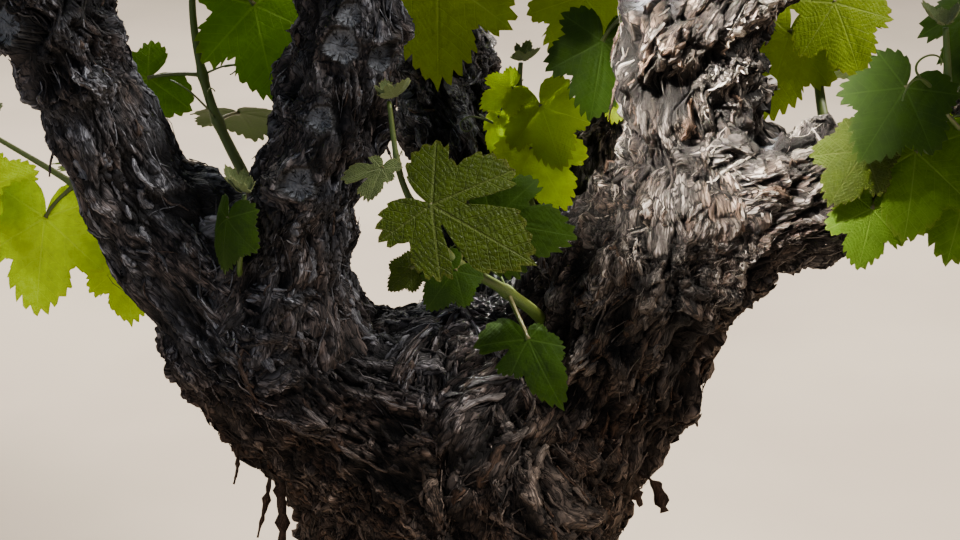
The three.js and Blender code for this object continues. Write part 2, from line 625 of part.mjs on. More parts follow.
const grapevine = new THREE.Group();
function addPiece(name, solid, material) {
  const mesh = new THREE.Mesh(geometryFrom(solid), material);
  mesh.name = name;
  grapevine.add(mesh);
}

const { limbs, grown } = buildLimbs();
for (const [name, solid] of limbs) addPiece(name, solid, materials.wood);
for (const crown of CROWN_MASSES)
  addPiece(crown.name, massSolid(crownSolids(crown), grown), materials.leaf);
for (const shoot of WATER_SHOOTS)
  addPiece(shoot.name, massSolid(waterShootSolids(shoot), grown), materials.leaf);

export default grapevine;
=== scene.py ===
"""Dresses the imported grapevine: old wood with its bark in relief, peeling strips, saw cuts, pruned
spurs, green shoots, leaves and tendrils.

Lengths are in millimetres in the plant's own frame: +Z up from the ground, +Y to the back, the
origin in the middle of the flat cut under the trunk. Each mesh is written in metres.
"""

import logging
import math
from collections.abc import Callable
from dataclasses import dataclass, field, replace
from enum import Enum

import bpy
import numpy as np
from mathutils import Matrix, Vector
from numpy.typing import NDArray


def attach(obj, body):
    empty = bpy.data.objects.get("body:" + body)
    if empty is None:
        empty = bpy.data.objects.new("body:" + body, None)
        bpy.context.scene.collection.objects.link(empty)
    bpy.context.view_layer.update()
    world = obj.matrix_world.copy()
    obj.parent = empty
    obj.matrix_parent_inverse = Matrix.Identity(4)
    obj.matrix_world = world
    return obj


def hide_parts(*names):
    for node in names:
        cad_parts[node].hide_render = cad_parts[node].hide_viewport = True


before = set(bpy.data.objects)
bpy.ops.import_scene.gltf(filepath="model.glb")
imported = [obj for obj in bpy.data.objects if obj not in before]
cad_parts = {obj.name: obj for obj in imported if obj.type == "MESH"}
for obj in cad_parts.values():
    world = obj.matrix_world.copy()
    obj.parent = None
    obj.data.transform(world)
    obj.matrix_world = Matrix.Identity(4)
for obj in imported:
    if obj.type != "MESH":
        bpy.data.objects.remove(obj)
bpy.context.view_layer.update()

MM = 0.001
BODY = "root"
LOG = logging.getLogger("grapevine")

Array = NDArray[np.float64]
Faces = NDArray[np.int64]
Colour = tuple[float, float, float]
Point = tuple[float, float, float]
UP = np.array([0.0, 0.0, 1.0])
BACK = np.array([0.0, 1.0, 0.0])


class Slot(Enum):
    """The record's material slots."""

    BARK = "bark"
    FOLIAGE = "foliage"


# Plain mathematics


class Dice:
    """A seeded row of numbers from 0 to 1: each state is a factor times the last, modulo a prime."""

    FACTOR, PRIME, START = 48271, 2147483647, 7919

    def __init__(self, seed: int) -> None:
        """Start the row for a seed and pass over its first three numbers."""
        self.state = (seed * self.START) % self.PRIME
        for _ in range(3):
            self.roll()

    def roll(self) -> float:
        """Return the next number from 0 to 1."""
        self.state = (self.state * self.FACTOR) % self.PRIME
        return self.state / self.PRIME

    def between(self, low: float, high: float) -> float:
        """Return the next number, spread from low to high."""
        return low + (high - low) * self.roll()


def unit(vectors: Array) -> Array:
    """Return the vectors divided by their lengths."""
    return vectors / np.maximum(np.linalg.norm(vectors, axis=-1, keepdims=True), 1e-9)


def bearing(degrees: float) -> Array:
    """Return the level direction at an angle from +X towards +Y."""
    return np.array([math.cos(math.radians(degrees)), math.sin(math.radians(degrees)), 0.0])


def smooth(low: float, high: float, x: Array) -> Array:
    """Return 0 below low, 1 above high and a smooth cubic step between them."""
    s = np.clip((x - low) / (high - low), 0.0, 1.0)
    return s * s * (3.0 - 2.0 * s)


def turns(count: int) -> Array:
    """Return the angles that share a full turn evenly."""
    return np.arange(count) * 2 * math.pi / count


def cubic_between(padded: Array, i: Array, w: Array) -> Array:
    """Return the Catmull-Rom cubic between rows i + 1 and i + 2 of padded, at the shares w.

    It is the cubic that has half the span from the neighbours as its slope at either end.
    """
    a, b, c, d = padded[i], padded[i + 1], padded[i + 2], padded[i + 3]
    slope_b, slope_c = (c - a) / 2, (d - b) / 2
    cube = (2 * b - 2 * c + slope_b + slope_c) * w**3
    square = (3 * c - 3 * b - 2 * slope_b - slope_c) * w**2
    return cube + square + slope_b * w + b


def spline(padded: Array, t: Array) -> Array:
    """Return the Catmull-Rom curve through all rows but the first and last, at t from 0 to 1."""
    spans = len(padded) - 3
    x = np.clip(t, 0.0, 1.0) * spans
    i = np.minimum(x.astype(int), spans - 1)
    return cubic_between(padded, i, (x - i)[..., None])


def curve(points: Array, t: Array) -> Array:
    """Return a uniform Catmull-Rom curve through points at t, its ends carried on straight."""
    return spline(np.vstack([2 * points[0] - points[1], points, 2 * points[-1] - points[-2]]), t)


def resample(grid: Array, rows: Array, wrap: bool) -> Array:
    """Return a grid read between its rows by Catmull-Rom cubics.

    Args:
        grid: values, whose first axis is read.
        rows: places in units of rows.
        wrap: whether the rows close on themselves.
    """
    ends = (grid[-1:], grid[:2]) if wrap else (grid[:1], np.repeat(grid[-1:], 2, axis=0))
    i = np.clip(np.floor(rows).astype(int), 0, len(grid) - 1)
    w = (rows - i).reshape((-1,) + (1,) * (grid.ndim - 1))
    return cubic_between(np.concatenate([ends[0], grid, ends[1]]), i, w)


PRIMES = (374761393, 668265263, 2246822519, 3266489917)


def lattice_hash(corner: list[Array], seed: int) -> NDArray[np.uint32]:
    """Return a scrambled whole number for each lattice point: products with odd numbers, folded."""
    h = np.uint32(seed * PRIMES[3] % 4294967296)
    for part, prime in zip(corner, PRIMES):
        h = h + part.astype(np.int64).astype(np.uint32) * np.uint32(prime)
    h = (h ^ (h >> np.uint32(15))) * np.uint32(PRIMES[2])
    h = (h ^ (h >> np.uint32(13))) * np.uint32(PRIMES[3])
    return h ^ (h >> np.uint32(16))


def byte(h: NDArray[np.uint32], k: int) -> NDArray[np.uint32]:
    """Return byte k of whole numbers."""
    return (h >> np.uint32(8 * k)) & np.uint32(255)


def noise(points: Array, seed: int) -> Array:
    """Return gradient noise, about -1 to 1, with features one unit apart.

    Args:
        points: places, the last axis holding x, y and z.
        seed: chooses the pattern.

    Returns:
        At each lattice corner stands a slope chosen by its hash. The value is the eight corners'
        slopes times the way from them, mixed by the fade 6w^5 - 15w^4 + 10w^3.
    """
    p = points.astype(np.float32)
    base = np.floor(p)
    f = p - base
    fade = f * f * f * (f * (f * 6 - 15) + 10)
    total = np.zeros(p.shape[:-1], np.float32)
    for corner in np.ndindex(2, 2, 2):
        o = np.array(corner, np.float32)
        h = lattice_hash([base[..., k] + o[k] for k in range(3)], seed)
        d = f - o
        dot = sum(byte(h, k) / 127.5 * d[..., k] - d[..., k] for k in range(3))
        weight = np.prod(np.where(o == 1, fade, 1 - fade), axis=-1)
        total += (dot * weight).astype(np.float32)
    return 1.4 * total.astype(float)


def cells(points: Array, seed: int) -> tuple[Array, Array, Array]:
    """Return a pattern of cells, one for each lattice cube's own jittered point.

    Args:
        points: places, the last axis holding x, y and z.
        seed: chooses the pattern.

    Returns:
        For each place: how far it is from the border between its two nearest points (second
        distance less first), its cell's own number from 0 to 1, and its height above its point.
    """
    p = points.astype(np.float32)
    base = np.floor(p)
    first = np.full(p.shape[:-1], 9.0, np.float32)
    second, number, above = first.copy(), np.zeros_like(first), np.zeros_like(first)
    for corner in np.ndindex(3, 3, 3):
        cell = base + np.array(corner, np.float32) - 1
        h = lattice_hash([cell[..., k] for k in range(3)], seed)
        shift = [(byte(h, k) / 255 * 0.8 + 0.1).astype(np.float32) for k in range(3)]
        d = [p[..., k] - cell[..., k] - shift[k] for k in range(3)]
        distance = np.sqrt(d[0] ** 2 + d[1] ** 2 + d[2] ** 2)
        nearer = distance < first
        second = np.where(nearer, first, np.minimum(second, distance))
        number = np.where(nearer, byte(h, 3) / np.float32(255), number)
        above = np.where(nearer, d[2], above)
        first = np.where(nearer, distance, first)
    return (second - first).astype(float), number.astype(float), above.astype(float)


# Meshes


@dataclass
class Skin:
    """Points, faces and values at the points of a mesh that is being put together."""

    points: list[Array] = field(default_factory=list)
    quads: list[Faces] = field(default_factory=list)
    tris: list[Faces] = field(default_factory=list)
    finishes: tuple[list[Faces], list[Faces]] = field(default_factory=lambda: ([], []))
    values: dict[str, list[Array]] = field(default_factory=dict)
    count: int = 0

    def add(self, points: Array, quads: Faces, tris: Faces, finish: int = 0, **values: Array) -> None:
        """Add a part.

        Args:
            points: its points, one a row.
            quads: its four-sided faces, as rows of point numbers.
            tris: its three-sided faces.
            finish: which of the piece's materials it takes.
            values: named values, one row for each point.
        """
        self.points.append(points)
        for kept, faces, numbers in zip((self.quads, self.tris), (quads, tris), self.finishes):
            kept.append(faces + self.count)
            numbers.append(np.full(len(faces), finish))
        for name, rows in values.items():
            self.values.setdefault(name, []).append(rows)
        self.count += len(points)

    def build(self, name: str, materials: list[bpy.types.Material], slot: Slot,
              replaced: tuple[str, ...] = (), crease: float = 180.0) -> None:
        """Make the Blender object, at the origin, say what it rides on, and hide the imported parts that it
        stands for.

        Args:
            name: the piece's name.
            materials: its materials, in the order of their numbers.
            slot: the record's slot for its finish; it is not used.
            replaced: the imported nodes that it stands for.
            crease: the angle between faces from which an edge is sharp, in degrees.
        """
        points = np.vstack(self.points) * MM
        quads, tris = np.vstack(self.quads), np.vstack(self.tris)
        corners = np.concatenate([quads.ravel(), tris.ravel()])
        sizes = np.concatenate([np.full(len(quads), 4), np.full(len(tris), 3)])
        mesh = bpy.data.meshes.new(name)
        mesh.vertices.add(len(points))
        mesh.vertices.foreach_set("co", points.ravel())
        mesh.loops.add(len(corners))
        mesh.loops.foreach_set("vertex_index", corners)
        mesh.polygons.add(len(sizes))
        mesh.polygons.foreach_set("loop_start", np.cumsum(sizes) - sizes)
        mesh.polygons.foreach_set("use_smooth", np.ones(len(sizes), bool))
        finish = np.concatenate(self.finishes[0] + self.finishes[1])
        mesh.polygons.foreach_set("material_index", finish.astype(np.int32))
        for key, rows in self.values.items():
            data = np.concatenate(rows)
            kind, part = ("FLOAT", "value") if data.ndim == 1 else ("FLOAT_VECTOR", "vector")
            mesh.attributes.new(key, kind, "POINT").data.foreach_set(part, data.ravel())
        mesh.update(calc_edges=True)
        if crease < 180.0:
            mesh.set_sharp_from_angle(angle=math.radians(crease))
        for material in materials:
            mesh.materials.append(material)
        piece = bpy.data.objects.new(name, mesh)
        bpy.context.scene.collection.objects.link(piece)
        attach(piece, BODY)
        if replaced:
            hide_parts(*replaced)
        LOG.info("%s: %d triangles", name, 2 * len(quads) + len(tris))


def grid_faces(rows: int, columns: int) -> Faces:
    """Return the quads of a tube's grid whose columns close, facing out where columns turn left."""
    i, j = np.meshgrid(np.arange(rows - 1), np.arange(columns), indexing="ij")
    k = (j + 1) % columns
    quads = [i * columns + j, i * columns + k, (i + 1) * columns + k, (i + 1) * columns + j]
    return np.stack(quads, -1).reshape(-1, 4)


def tube_faces(rows: int, columns: int) -> tuple[Faces, Faces]:
    """Return a closed tube's quads, and its triangles to the two poles, which follow the grid."""
    j = np.arange(columns)
    k = (j + 1) % columns
    last, pole = (rows - 1) * columns, np.full(columns, rows * columns)
    low, high = np.stack([k, j, pole], -1), np.stack([j + last, k + last, pole + 1], -1)
    return grid_faces(rows, columns), np.vstack([low, high])


def square_to(tangent: Array) -> tuple[Array, Array]:
    """Return two directions square to a tangent: +X and +Y where it runs straight up."""
    first = unit(np.cross(BACK, tangent))
    return first, np.cross(tangent, first)


def round_about(tangent: Array, angle: Array) -> Array:
    """Return the directions square to each tangent, at angles round it."""
    first, second = square_to(tangent)
    return first[:, None] * np.cos(angle)[:, None] + second[:, None] * np.sin(angle)[:, None]


def rolled(side: Array, out: Array, angle: Array) -> tuple[Array, Array]:
    """Return two directions square to each other, turned in their plane by an angle."""
    c, s = np.cos(angle)[..., None], np.sin(angle)[..., None]
    return side * c + out * s, out * c - side * s


# Finishes


def joined(operation: str, swapped: bool = False) -> Callable[["Signal", object], "Signal"]:
    """Return an operator that joins a signal and another term in a Math node.

    Args:
        operation: the node's operation.
        swapped: whether the other term comes first.
    """
    def join(self: "Signal", other: object) -> "Signal":
        """Return the node's output."""
        return self.web.math(operation, *((other, self) if swapped else (self, other)))
    return join


class Signal:
    """A socket's output in a web, which operators join to numbers, vectors and other signals."""

    __add__, __radd__ = joined("ADD"), joined("ADD", True)
    __sub__, __rsub__ = joined("SUBTRACT"), joined("SUBTRACT", True)
    __mul__, __rmul__ = joined("MULTIPLY"), joined("MULTIPLY", True)
    __truediv__, __rtruediv__ = joined("DIVIDE"), joined("DIVIDE", True)
    __pow__ = joined("POWER")
    at_least = joined("MAXIMUM")

    def __init__(self, web: "Web", socket: bpy.types.NodeSocket) -> None:
        """Keep the web and the socket."""
        self.web, self.socket = web, socket

    def __abs__(self) -> "Signal":
        """Return the value without its sign."""
        return self.web.math("ABSOLUTE", self)

    def scaled(self, share: object) -> "Signal":
        """Return the vector times a number."""
        return self.web.out("VectorMath", {0: self, "Scale": share}, operation="SCALE")

    def step(self, low: float, high: float) -> "Signal":
        """Return a smooth step from 0 at low to 1 at high."""
        sockets = {"Value": self, "From Min": low, "From Max": high}
        return self.web.out("MapRange", sockets, interpolation_type="SMOOTHSTEP")

    def parts(self) -> list["Signal"]:
        """Return the vector's x, y and z."""
        made = self.web.node("SeparateXYZ", {0: self})
        return [Signal(self.web, socket) for socket in made.outputs]


class Web:
    """A node tree that is being wired."""

    def __init__(self, tree: bpy.types.NodeTree) -> None:
        """Keep the tree."""
        self.tree = tree

    def node(self, kind: str, inputs: dict | None = None, **settings: object) -> bpy.types.Node:
        """Add a node.

        Args:
            kind: its type, without the words ShaderNode.
            inputs: by socket name or number, a plain value or the signal that is linked in.
            settings: its own properties.

        Returns:
            The node.
        """
        made = self.tree.nodes.new(kind if kind.startswith("NodeGroup") else "ShaderNode" + kind)
        for key, value in settings.items():
            setattr(made, key, value)
        for key, value in (inputs or {}).items():
            if isinstance(value, Signal):
                self.tree.links.new(value.socket, made.inputs[key])
            else:
                made.inputs[key].default_value = value
        return made

    def out(self, kind: str, inputs: dict | None = None, part: int | str = 0, **settings: object) -> Signal:
        """Add a node and return its output of a name or number."""
        return Signal(self, self.node(kind, inputs, **settings).outputs[part])

    def math(self, operation: str, *terms: object) -> Signal:
        """Return a Math node's value of the terms, or a Vector Math node's where one is a vector."""
        plain = all(t.socket.type == "VALUE" if isinstance(t, Signal) else np.ndim(t) == 0 for t in terms)
        return self.out("Math" if plain else "VectorMath", dict(enumerate(terms)), operation=operation)

    def mix(self, factor: object, a: object, b: object, blend: str = "MIX") -> Signal:
        """Return colour a turned into colour b by the factor."""
        return self.out("Mix", {0: factor, 6: a, 7: b}, 2, data_type="RGBA", blend_type=blend)

    def layers(self, colour: Signal, *coats: tuple[object, object]) -> Signal:
        """Return a colour under coats, each a share and the colour that it is turned into."""
        for share, coat in coats:
            colour = self.mix(share, colour, coat)
        return colour

    def noise(self, vector: object, scale: float, detail: float = 3.0, blur: float = 0.5,
              part: int | str = 0) -> Signal:
        """Return a noise value, about 0.5 in its middle, or the noise's colour."""
        sockets = {"Vector": vector, "Scale": scale, "Detail": detail, "Roughness": blur}
        return self.out("TexNoise", sockets, part)

    def border(self, vector: object, scale: float, low: float, high: float) -> Signal:
        """Return 1 on the borders of Voronoi cells, fading out from low to high off them."""
        sockets = {"Vector": vector, "Scale": scale}
        return 1.0 - self.out("TexVoronoi", sockets, feature="DISTANCE_TO_EDGE").step(low, high)

    def attribute(self, name: str, part: str = "Vector") -> Signal:
        """Return a named value of the mesh."""
        return self.out("Attribute", part=part, attribute_name=name)

    def place(self) -> Signal:
        """Return the Object coordinates."""
        return self.out("TexCoord", part="Object")

    def group(self, tree: bpy.types.NodeTree, **inputs: object) -> dict[str, Signal]:
        """Place a group in the tree and return its outputs by name."""
        made = self.node("Group", inputs, node_tree=tree)
        return {socket.name: Signal(self, socket) for socket in made.outputs}

    def bump(self, height: Signal, strength: float, depth: float, **settings: bool) -> Signal:
        """Return the normal over a height, in metres of depth."""
        return self.out("Bump", {"Height": height, "Strength": strength, "Distance": depth}, **settings)

    def solid(self, colour: Signal, roughness: object, gloss: float, **more: object) -> Signal:
        """Return a Principled shader, with more sockets by their names in lower case."""
        sockets = {key.replace("_", " ").title(): value for key, value in more.items()}
        sockets |= {"Base Color": colour, "Roughness": roughness, "Specular IOR Level": gloss}
        return self.out("BsdfPrincipled", sockets)

    def finish(self, shader: Signal) -> None:
        """Link a shader to the material's output."""
        self.node("OutputMaterial", {0: shader})


def rgba(colour: Colour, share: float = 1.0) -> tuple[float, float, float, float]:
    """Return a colour times a share, opaque."""
    return (colour[0] * share, colour[1] * share, colour[2] * share, 1.0)


SOCKETS = {"VALUE": "NodeSocketFloat", "VECTOR": "NodeSocketVector", "RGBA": "NodeSocketColor"}
SOCKET_OF_SIZE = {1: "VALUE", 3: "VECTOR", 4: "RGBA"}


def effect(name: str, inputs: dict[str, object],
           draw: Callable[..., dict[str, Signal]]) -> bpy.types.NodeTree:
    """Build a shader node group.

    Args:
        name: its name.
        inputs: each input's name with its plain value: a number, a vector or a colour.
        draw: takes the group's web and its inputs, wires it, and returns its outputs by name.

    Returns:
        The group.
    """
    tree = bpy.data.node_groups.new(name, "ShaderNodeTree")
    for key, value in inputs.items():
        kind = SOCKETS[SOCKET_OF_SIZE[np.size(value)]]
        tree.interface.new_socket(key, in_out="INPUT", socket_type=kind).default_value = value
    web = Web(tree)
    entry = web.node("NodeGroupInput")
    drawn = draw(web, *(Signal(web, entry.outputs[key]) for key in inputs))
    for key, signal in drawn.items():
        tree.interface.new_socket(key, in_out="OUTPUT", socket_type=SOCKETS[signal.socket.type])
    web.node("NodeGroupOutput", drawn)
    return tree


# What old wood's tone is multiplied by for painted light: the cool tint of skylit shade, the
# warm tint of sun, painted shade with warm ground bounce at the trunk's foot, and painted
# sunlight with painted shade between its patches; and the palest that it may get.
SKYLIT_SHADE_TINT, SUN_WARM_TINT, FOOT_SHADE_BOUNCE = (1.02, 1.09, 1.32, 1), (1.08, 0.97, 0.90, 1), (0.84, 0.64, 0.53, 1)
SHADED, PAINTED_SUNLIGHT, PALEST = (0.95, 0.86, 0.78, 1), (3.9, 3.5, 3.15, 1), (0.48, 0.445, 0.41, 1)


def draw_painted_light(web: Web, tone: Signal, place: Signal) -> dict[str, Signal]:
    """Draw painted light on old wood by its place on the vine.

    The left and middle arms take the cool tint of painted skylit shade and the right side a warm
    one, and the trunk's foot painted shade with warm light bounced off the ground. The two right
    arms, which stand in the sun, take painted sunlight a few times as pale, in patches, and less
    where painted shade lies under the leaves at the lower one's tip.
    """
    ragged = 0.12 * web.noise(place, 22.0) - 0.06
    x, _, z = place.parts()
    x_edge, z_edge = x + ragged, z + ragged
    # Painted shade: weaker painted sunlight under the leaves at the lower right arm's tip.
    shade = x_edge.step(0.14, 0.18) * z.step(0.52, 0.49)
    # Where painted sunlight falls on the two right arms.
    sunlit = x_edge.step(0.05, 0.1) * z_edge.step(0.43, 0.47) * (1.0 - 0.7 * shade)
    patch = web.noise(place, 45.0, 3, 0.6).step(0.4, 0.58)
    pale = web.out("RGBToBW", {0: tone}).step(0.012, 0.07)
    # Painted sunlight: pale patches a few times as pale, with painted shade between them.
    sunlight_tint = web.mix(patch * pale, SHADED, PAINTED_SUNLIGHT)
    # The cool tint of painted skylit shade on the left and middle, a warm tint of sun on the right.
    light_tint = web.mix(x_edge.step(0.0, 0.07), SKYLIT_SHADE_TINT, SUN_WARM_TINT)
    # Then painted shade with warm ground bounce at the trunk's foot, and the painted sunlight.
    light_tint = web.layers(light_tint, (z_edge.step(0.4, 0.3), FOOT_SHADE_BOUNCE), (sunlit, sunlight_tint))
    return {"Tone": web.mix(1.0, web.mix(1.0, tone, light_tint, "MULTIPLY"), PALEST, "DARKEN")}


def draw_fibres(web: Web, grain: Signal, width: Signal) -> dict[str, Signal]:
    """Draw the streaks of old wood along its grain.

    The grain's places are bent by slow noise. Streaks are noise stretched nine times along them.
    Cracks are thin lines where a coarser stretched noise crosses its middle, and the borders of
    Voronoi cells stretched three times, whose random colours tell the plates apart. Weather
    stains are slow noise.
    """
    sized = grain.scaled(1.0 / width)
    bent = web.noise(sized * (1, 1, 0.4), 0.16, 2, 0.5, "Color") * (4.0, 4.0, 6.0) + sized
    along = bent * (1, 1, 0.11)
    fine, coarse = web.noise(along, 1.3, 3, 0.62), web.noise(along, 0.42, 3, 0.55)
    thread = web.noise(bent * (1, 1, 0.13), 0.24, 2, 0.5)
    frayed = web.noise(along, 0.9, 2, 0.5, "Color") * (1.6, 1.6, 1.2) + bent * (1, 1, 0.36)
    opened = web.noise(bent, 0.22, 2).step(0.38, 0.56)
    crack = (1.0 - abs(thread - 0.5).step(0.005, 0.022)).at_least(
        web.border(frayed, 0.42, 0.015, 0.085) * opened)
    plate = web.out("TexVoronoi", {"Vector": frayed, "Scale": 0.42}, "Color").parts()[0]
    return {"Streak": (0.65 * fine + 0.35 * coarse).step(0.42, 0.6), "Crack": crack, "Plate": plate,
            "Stain": web.noise(grain * (1, 1, 0.45), 0.045, 3, 0.6).step(0.42, 0.62),
            "Height": 1.1 * fine + coarse + 0.7 * plate - 1.1 * crack}


def draw_sawn(web: Web, place: Signal) -> dict[str, Signal]:
    """Draw an old saw cut.

    Rings are a faint sine of the distance from the pith, bent by noise, and rays are fine noise
    round the angle. Splits are lines where slower noise round the angle crosses its middle.
    """
    x, y, _ = place.parts()
    out, angle = web.math("SQRT", x * x + y * y), web.math("ARCTAN2", y, x)
    flat = web.out("CombineXYZ", {0: x, 1: y})
    round_it = {0: web.math("COSINE", angle), 1: web.math("SINE", angle), 2: 0.25 * out}
    round_it = web.out("CombineXYZ", round_it)
    rings = web.math("SINE", 30.0 * (out + 0.28 * web.noise(flat, 2.2)))
    rays = web.noise(round_it, 17.0, 2, 0.6)
    crack = 1.0 - abs(web.noise(round_it, 3.2, 3, 0.6) - 0.5).step(0.014, 0.036)
    crack = crack * web.noise(flat, 1.6, 2).step(0.42, 0.5)
    blotch = web.noise(flat, 3.4, 4, 0.65)
    return {"Tone": 0.09 * rings + blotch + 0.32 - 0.45 * out + 0.4 * (rays - 0.5),
            "Split": crack, "Height": 0.7 * rays - crack}


def draw_veins(web: Web, place: Signal, position: Signal, spacing: Signal) -> dict[str, Signal]:
    """Draw a vine leaf's veins.

    "Place" holds the distance along the nearest main vein, the distance across from it, both
    scaled to a leaf 60 long, and how far out towards the rim the point lies. Main veins are thin
    where the distance across is small, and taper outwards. Side veins are where the distance
    along less the distance across crosses a multiple of their spacing. The net between them is
    the border of a Voronoi pattern.
    """
    along, across, out = place.parts()
    wander = web.noise(position, 90.0, 2)
    taper = (0.95 - 0.011 * along).at_least(0.22)
    main = 1.0 - (across / taper).step(0.45, 1.25)
    lean = along - 0.62 * across**1.12 + 3.2 * (wander - 0.5)
    side = 1.0 - (abs(web.math("FRACT", lean / spacing) - 0.5) * spacing).step(0.12, 0.5)
    net = web.border(position, 480.0, 0.02, 0.16)
    sway = 8.0 * wander + 3.0 * web.noise(position, 260.0, 2)
    ladder = web.math("SINE", 1.75 * (across + 0.7 * along + sway))
    return {"Main": main, "Side": side, "Net": net, "Rim": (out + 0.1 * (wander - 0.5)).step(0.93, 1.0),
            "Height": 1.2 * main + 0.9 * side + 0.22 * net + 0.13 * ladder,
            "Mottle": web.noise(position, 160.0, 3, 0.6), "Ladder": ladder.step(0.1, 1.0)}


class Effects:
    """The shader node groups that several finishes share, each built once."""

    def __init__(self) -> None:
        """Build the groups."""
        nowhere = (0.0, 0.0, 0.0)
        self.fibres = effect("fibre_streaks", {"Grain": nowhere, "Width": 1.0}, draw_fibres)
        self.sawn = effect("sawn_face", {"Place": nowhere}, draw_sawn)
        self.veins = effect("leaf_veins", {"Place": nowhere, "Position": nowhere, "Spacing": 7.0},
                            draw_veins)
        self.painted_light = effect("painted_light", {"Tone": (0.1, 0.1, 0.1, 1.0), "Place": nowhere}, draw_painted_light)


def start_material(name: str, preview: Colour) -> tuple[bpy.types.Material, Web]:
    """Return a new node material with no nodes, and its web."""
    material = bpy.data.materials.new(name)
    material.use_nodes = True
    material.node_tree.nodes.clear()
    material.diffuse_color = rgba(preview)
    return material, Web(material.node_tree)


BARK_GLOSS = 0.22


@dataclass(frozen=True)
class OldWood:
    """The finish of bark: dark in its cracks, painted shade in its crevices, rust-brown inside, and
    weathered grey with a painted highlight on the ridges.
    """

    name: str
    deep: Colour = (0.0075, 0.0070, 0.0068)
    body: Colour = (0.066, 0.063, 0.061)
    rust: Colour = (0.084, 0.062, 0.048)
    ridge: Colour = (0.300, 0.285, 0.270)
    sawn: Colour = (0.118, 0.126, 0.144)
    roughness: float = 0.88
    width: float = 1.0
    bump: float = 0.9

    def material(self, effects: Effects) -> bpy.types.Material:
        """Return the material, which reads the mesh's grain, relief and cut values."""
        made, web = start_material(self.name, self.body)
        deep = rgba(self.deep)
        fibres = web.group(effects.fibres, Grain=web.attribute("grain"), Width=self.width)
        sawn = web.group(effects.sawn, Place=web.attribute("cut"))
        crevice_shade, ridge, cut = web.attribute("relief").parts()
        streak = fibres["Streak"]
        colour = web.mix(fibres["Stain"], rgba(self.body), rgba(self.rust))
        # The ridges' grey: partly weathered bark, partly a painted highlight.
        colour = web.mix(ridge * (0.85 * streak + 0.15), colour, rgba(self.ridge))
        colour = colour.scaled(1.3 * fibres["Plate"] + 0.42)
        # Dark fibres and cracks, then painted shade in the crevices.
        colour = web.layers(colour, (0.75 * (1.0 - streak), rgba(self.deep, 1.6)),
                            (0.85 * fibres["Crack"], deep), (crevice_shade, deep))
        face = web.mix((sawn["Tone"] - 0.2) / 0.6, rgba(self.sawn, 0.4), rgba(self.sawn, 1.25))
        face = web.mix(0.95 * sawn["Split"], face, deep)
        # Painted light by place: skylit shade tint, sunlight on the right arms, shade at the foot.
        colour = web.group(effects.painted_light, Tone=colour, Place=web.place())["Tone"]
        colour = web.layers(colour, (cut, face), (3.2 * cut * (1.0 - cut), deep))
        normal = web.bump(web.mix(cut, fibres["Height"], sawn["Height"]), self.bump, 0.0011)
        web.finish(web.solid(colour, self.roughness, BARK_GLOSS, normal=normal))
        return made


@dataclass(frozen=True)
class Flake:
    """The finish of one tone of loose bark: a plain base colour, streaked along its fibres."""

    name: str
    body: Colour
    dark: float = 0.35
    roughness: float = 0.9

    def material(self, effects: Effects) -> bpy.types.Material:
        """Return the material, which reads the strips' grain."""
        made, web = start_material(self.name, self.body)
        fibres = web.group(effects.fibres, Grain=web.attribute("grain"), Width=0.7)
        colour = web.mix(fibres["Streak"], rgba(self.body, self.dark), rgba(self.body))
        colour = web.mix(0.8 * fibres["Crack"], colour, rgba(self.body, 0.2))
        # Painted light by place, as on the old wood.
        colour = web.group(effects.painted_light, Tone=colour, Place=web.place())["Tone"]
        normal = web.bump(fibres["Height"], 0.6, 0.0007)
        web.finish(web.solid(colour, self.roughness, BARK_GLOSS, normal=normal))
        return made


@dataclass(frozen=True)
class Blade:
    """The finish of one tone of leaf: matt green with pale veins, a tinted rim and light inside."""

    name: str
    body: Colour
    vein: Colour
    rim: Colour
    glow: Colour
    net: float = 0.3
    roughness: float = 0.5
    down: float = 0.0
    through: float = 0.38
    bump: float = 0.45
    gloss: float = 0.12
    under: Colour = (0.30, 0.42, 0.16)

    def material(self, effects: Effects) -> bpy.types.Material:
        """Return the material, which reads the leaves' vein and side values."""
        made, web = start_material(self.name, self.body)
        out = web.group(effects.veins, Place=web.attribute("vein"), Position=web.place())
        mottled = web.mix(out["Mottle"].step(0.3, 0.7), rgba(self.body, 0.78), rgba(self.body, 1.2))
        pattern = (0.6 * out["Net"]).at_least(0.5 * out["Ladder"])
        vein = rgba(self.vein)
        colour = web.layers(mottled, (pattern * self.net, vein), (0.42 * out["Side"], vein),
                            (0.85 * out["Main"], vein), (0.6 * out["Rim"], rgba(self.rim)),
                            (0.25 * web.attribute("under", "Fac"), rgba(self.under)))
        normal = web.bump(out["Height"], self.bump, 0.0012, invert=True)
        rough = 0.2 * out["Mottle"] + (self.roughness - 0.1)
        solid = web.solid(colour, rough, self.gloss, sheen_weight=self.down, normal=normal)
        light = web.mix(0.55, colour, rgba(self.glow))
        thin = web.out("BsdfTranslucent", {"Color": light, "Normal": normal})
        web.finish(web.out("MixShader", {0: self.through, 1: solid, 2: thin}))
        return made


@dataclass(frozen=True)
class Shoot:
    """The finish of green stems: ribbed lengthwise, and flushed with red on one side."""

    name: str
    body: Colour = (0.045, 0.090, 0.010)
    flush: Colour = (0.14, 0.055, 0.025)
    roughness: float = 0.42

    def material(self, effects: Effects) -> bpy.types.Material:
        """Return the material, which reads the stems' grain and flush values."""
        made, web = start_material(self.name, self.body)
        fibres = web.group(effects.fibres, Grain=web.attribute("grain"), Width=0.6)
        flush = web.attribute("flush", "Fac") * (0.6 * fibres["Streak"] + 0.4)
        colour = web.mix(flush, rgba(self.body), rgba(self.flush))
        colour = web.mix(0.3 * fibres["Streak"], colour, rgba(self.body, 1.5))
        normal = web.bump(fibres["Height"], 0.25, 0.0005)
        web.finish(web.solid(colour, self.roughness, 0.4, normal=normal, subsurface_weight=0.15,
                             subsurface_radius=(0.003, 0.003, 0.001)))
        return made


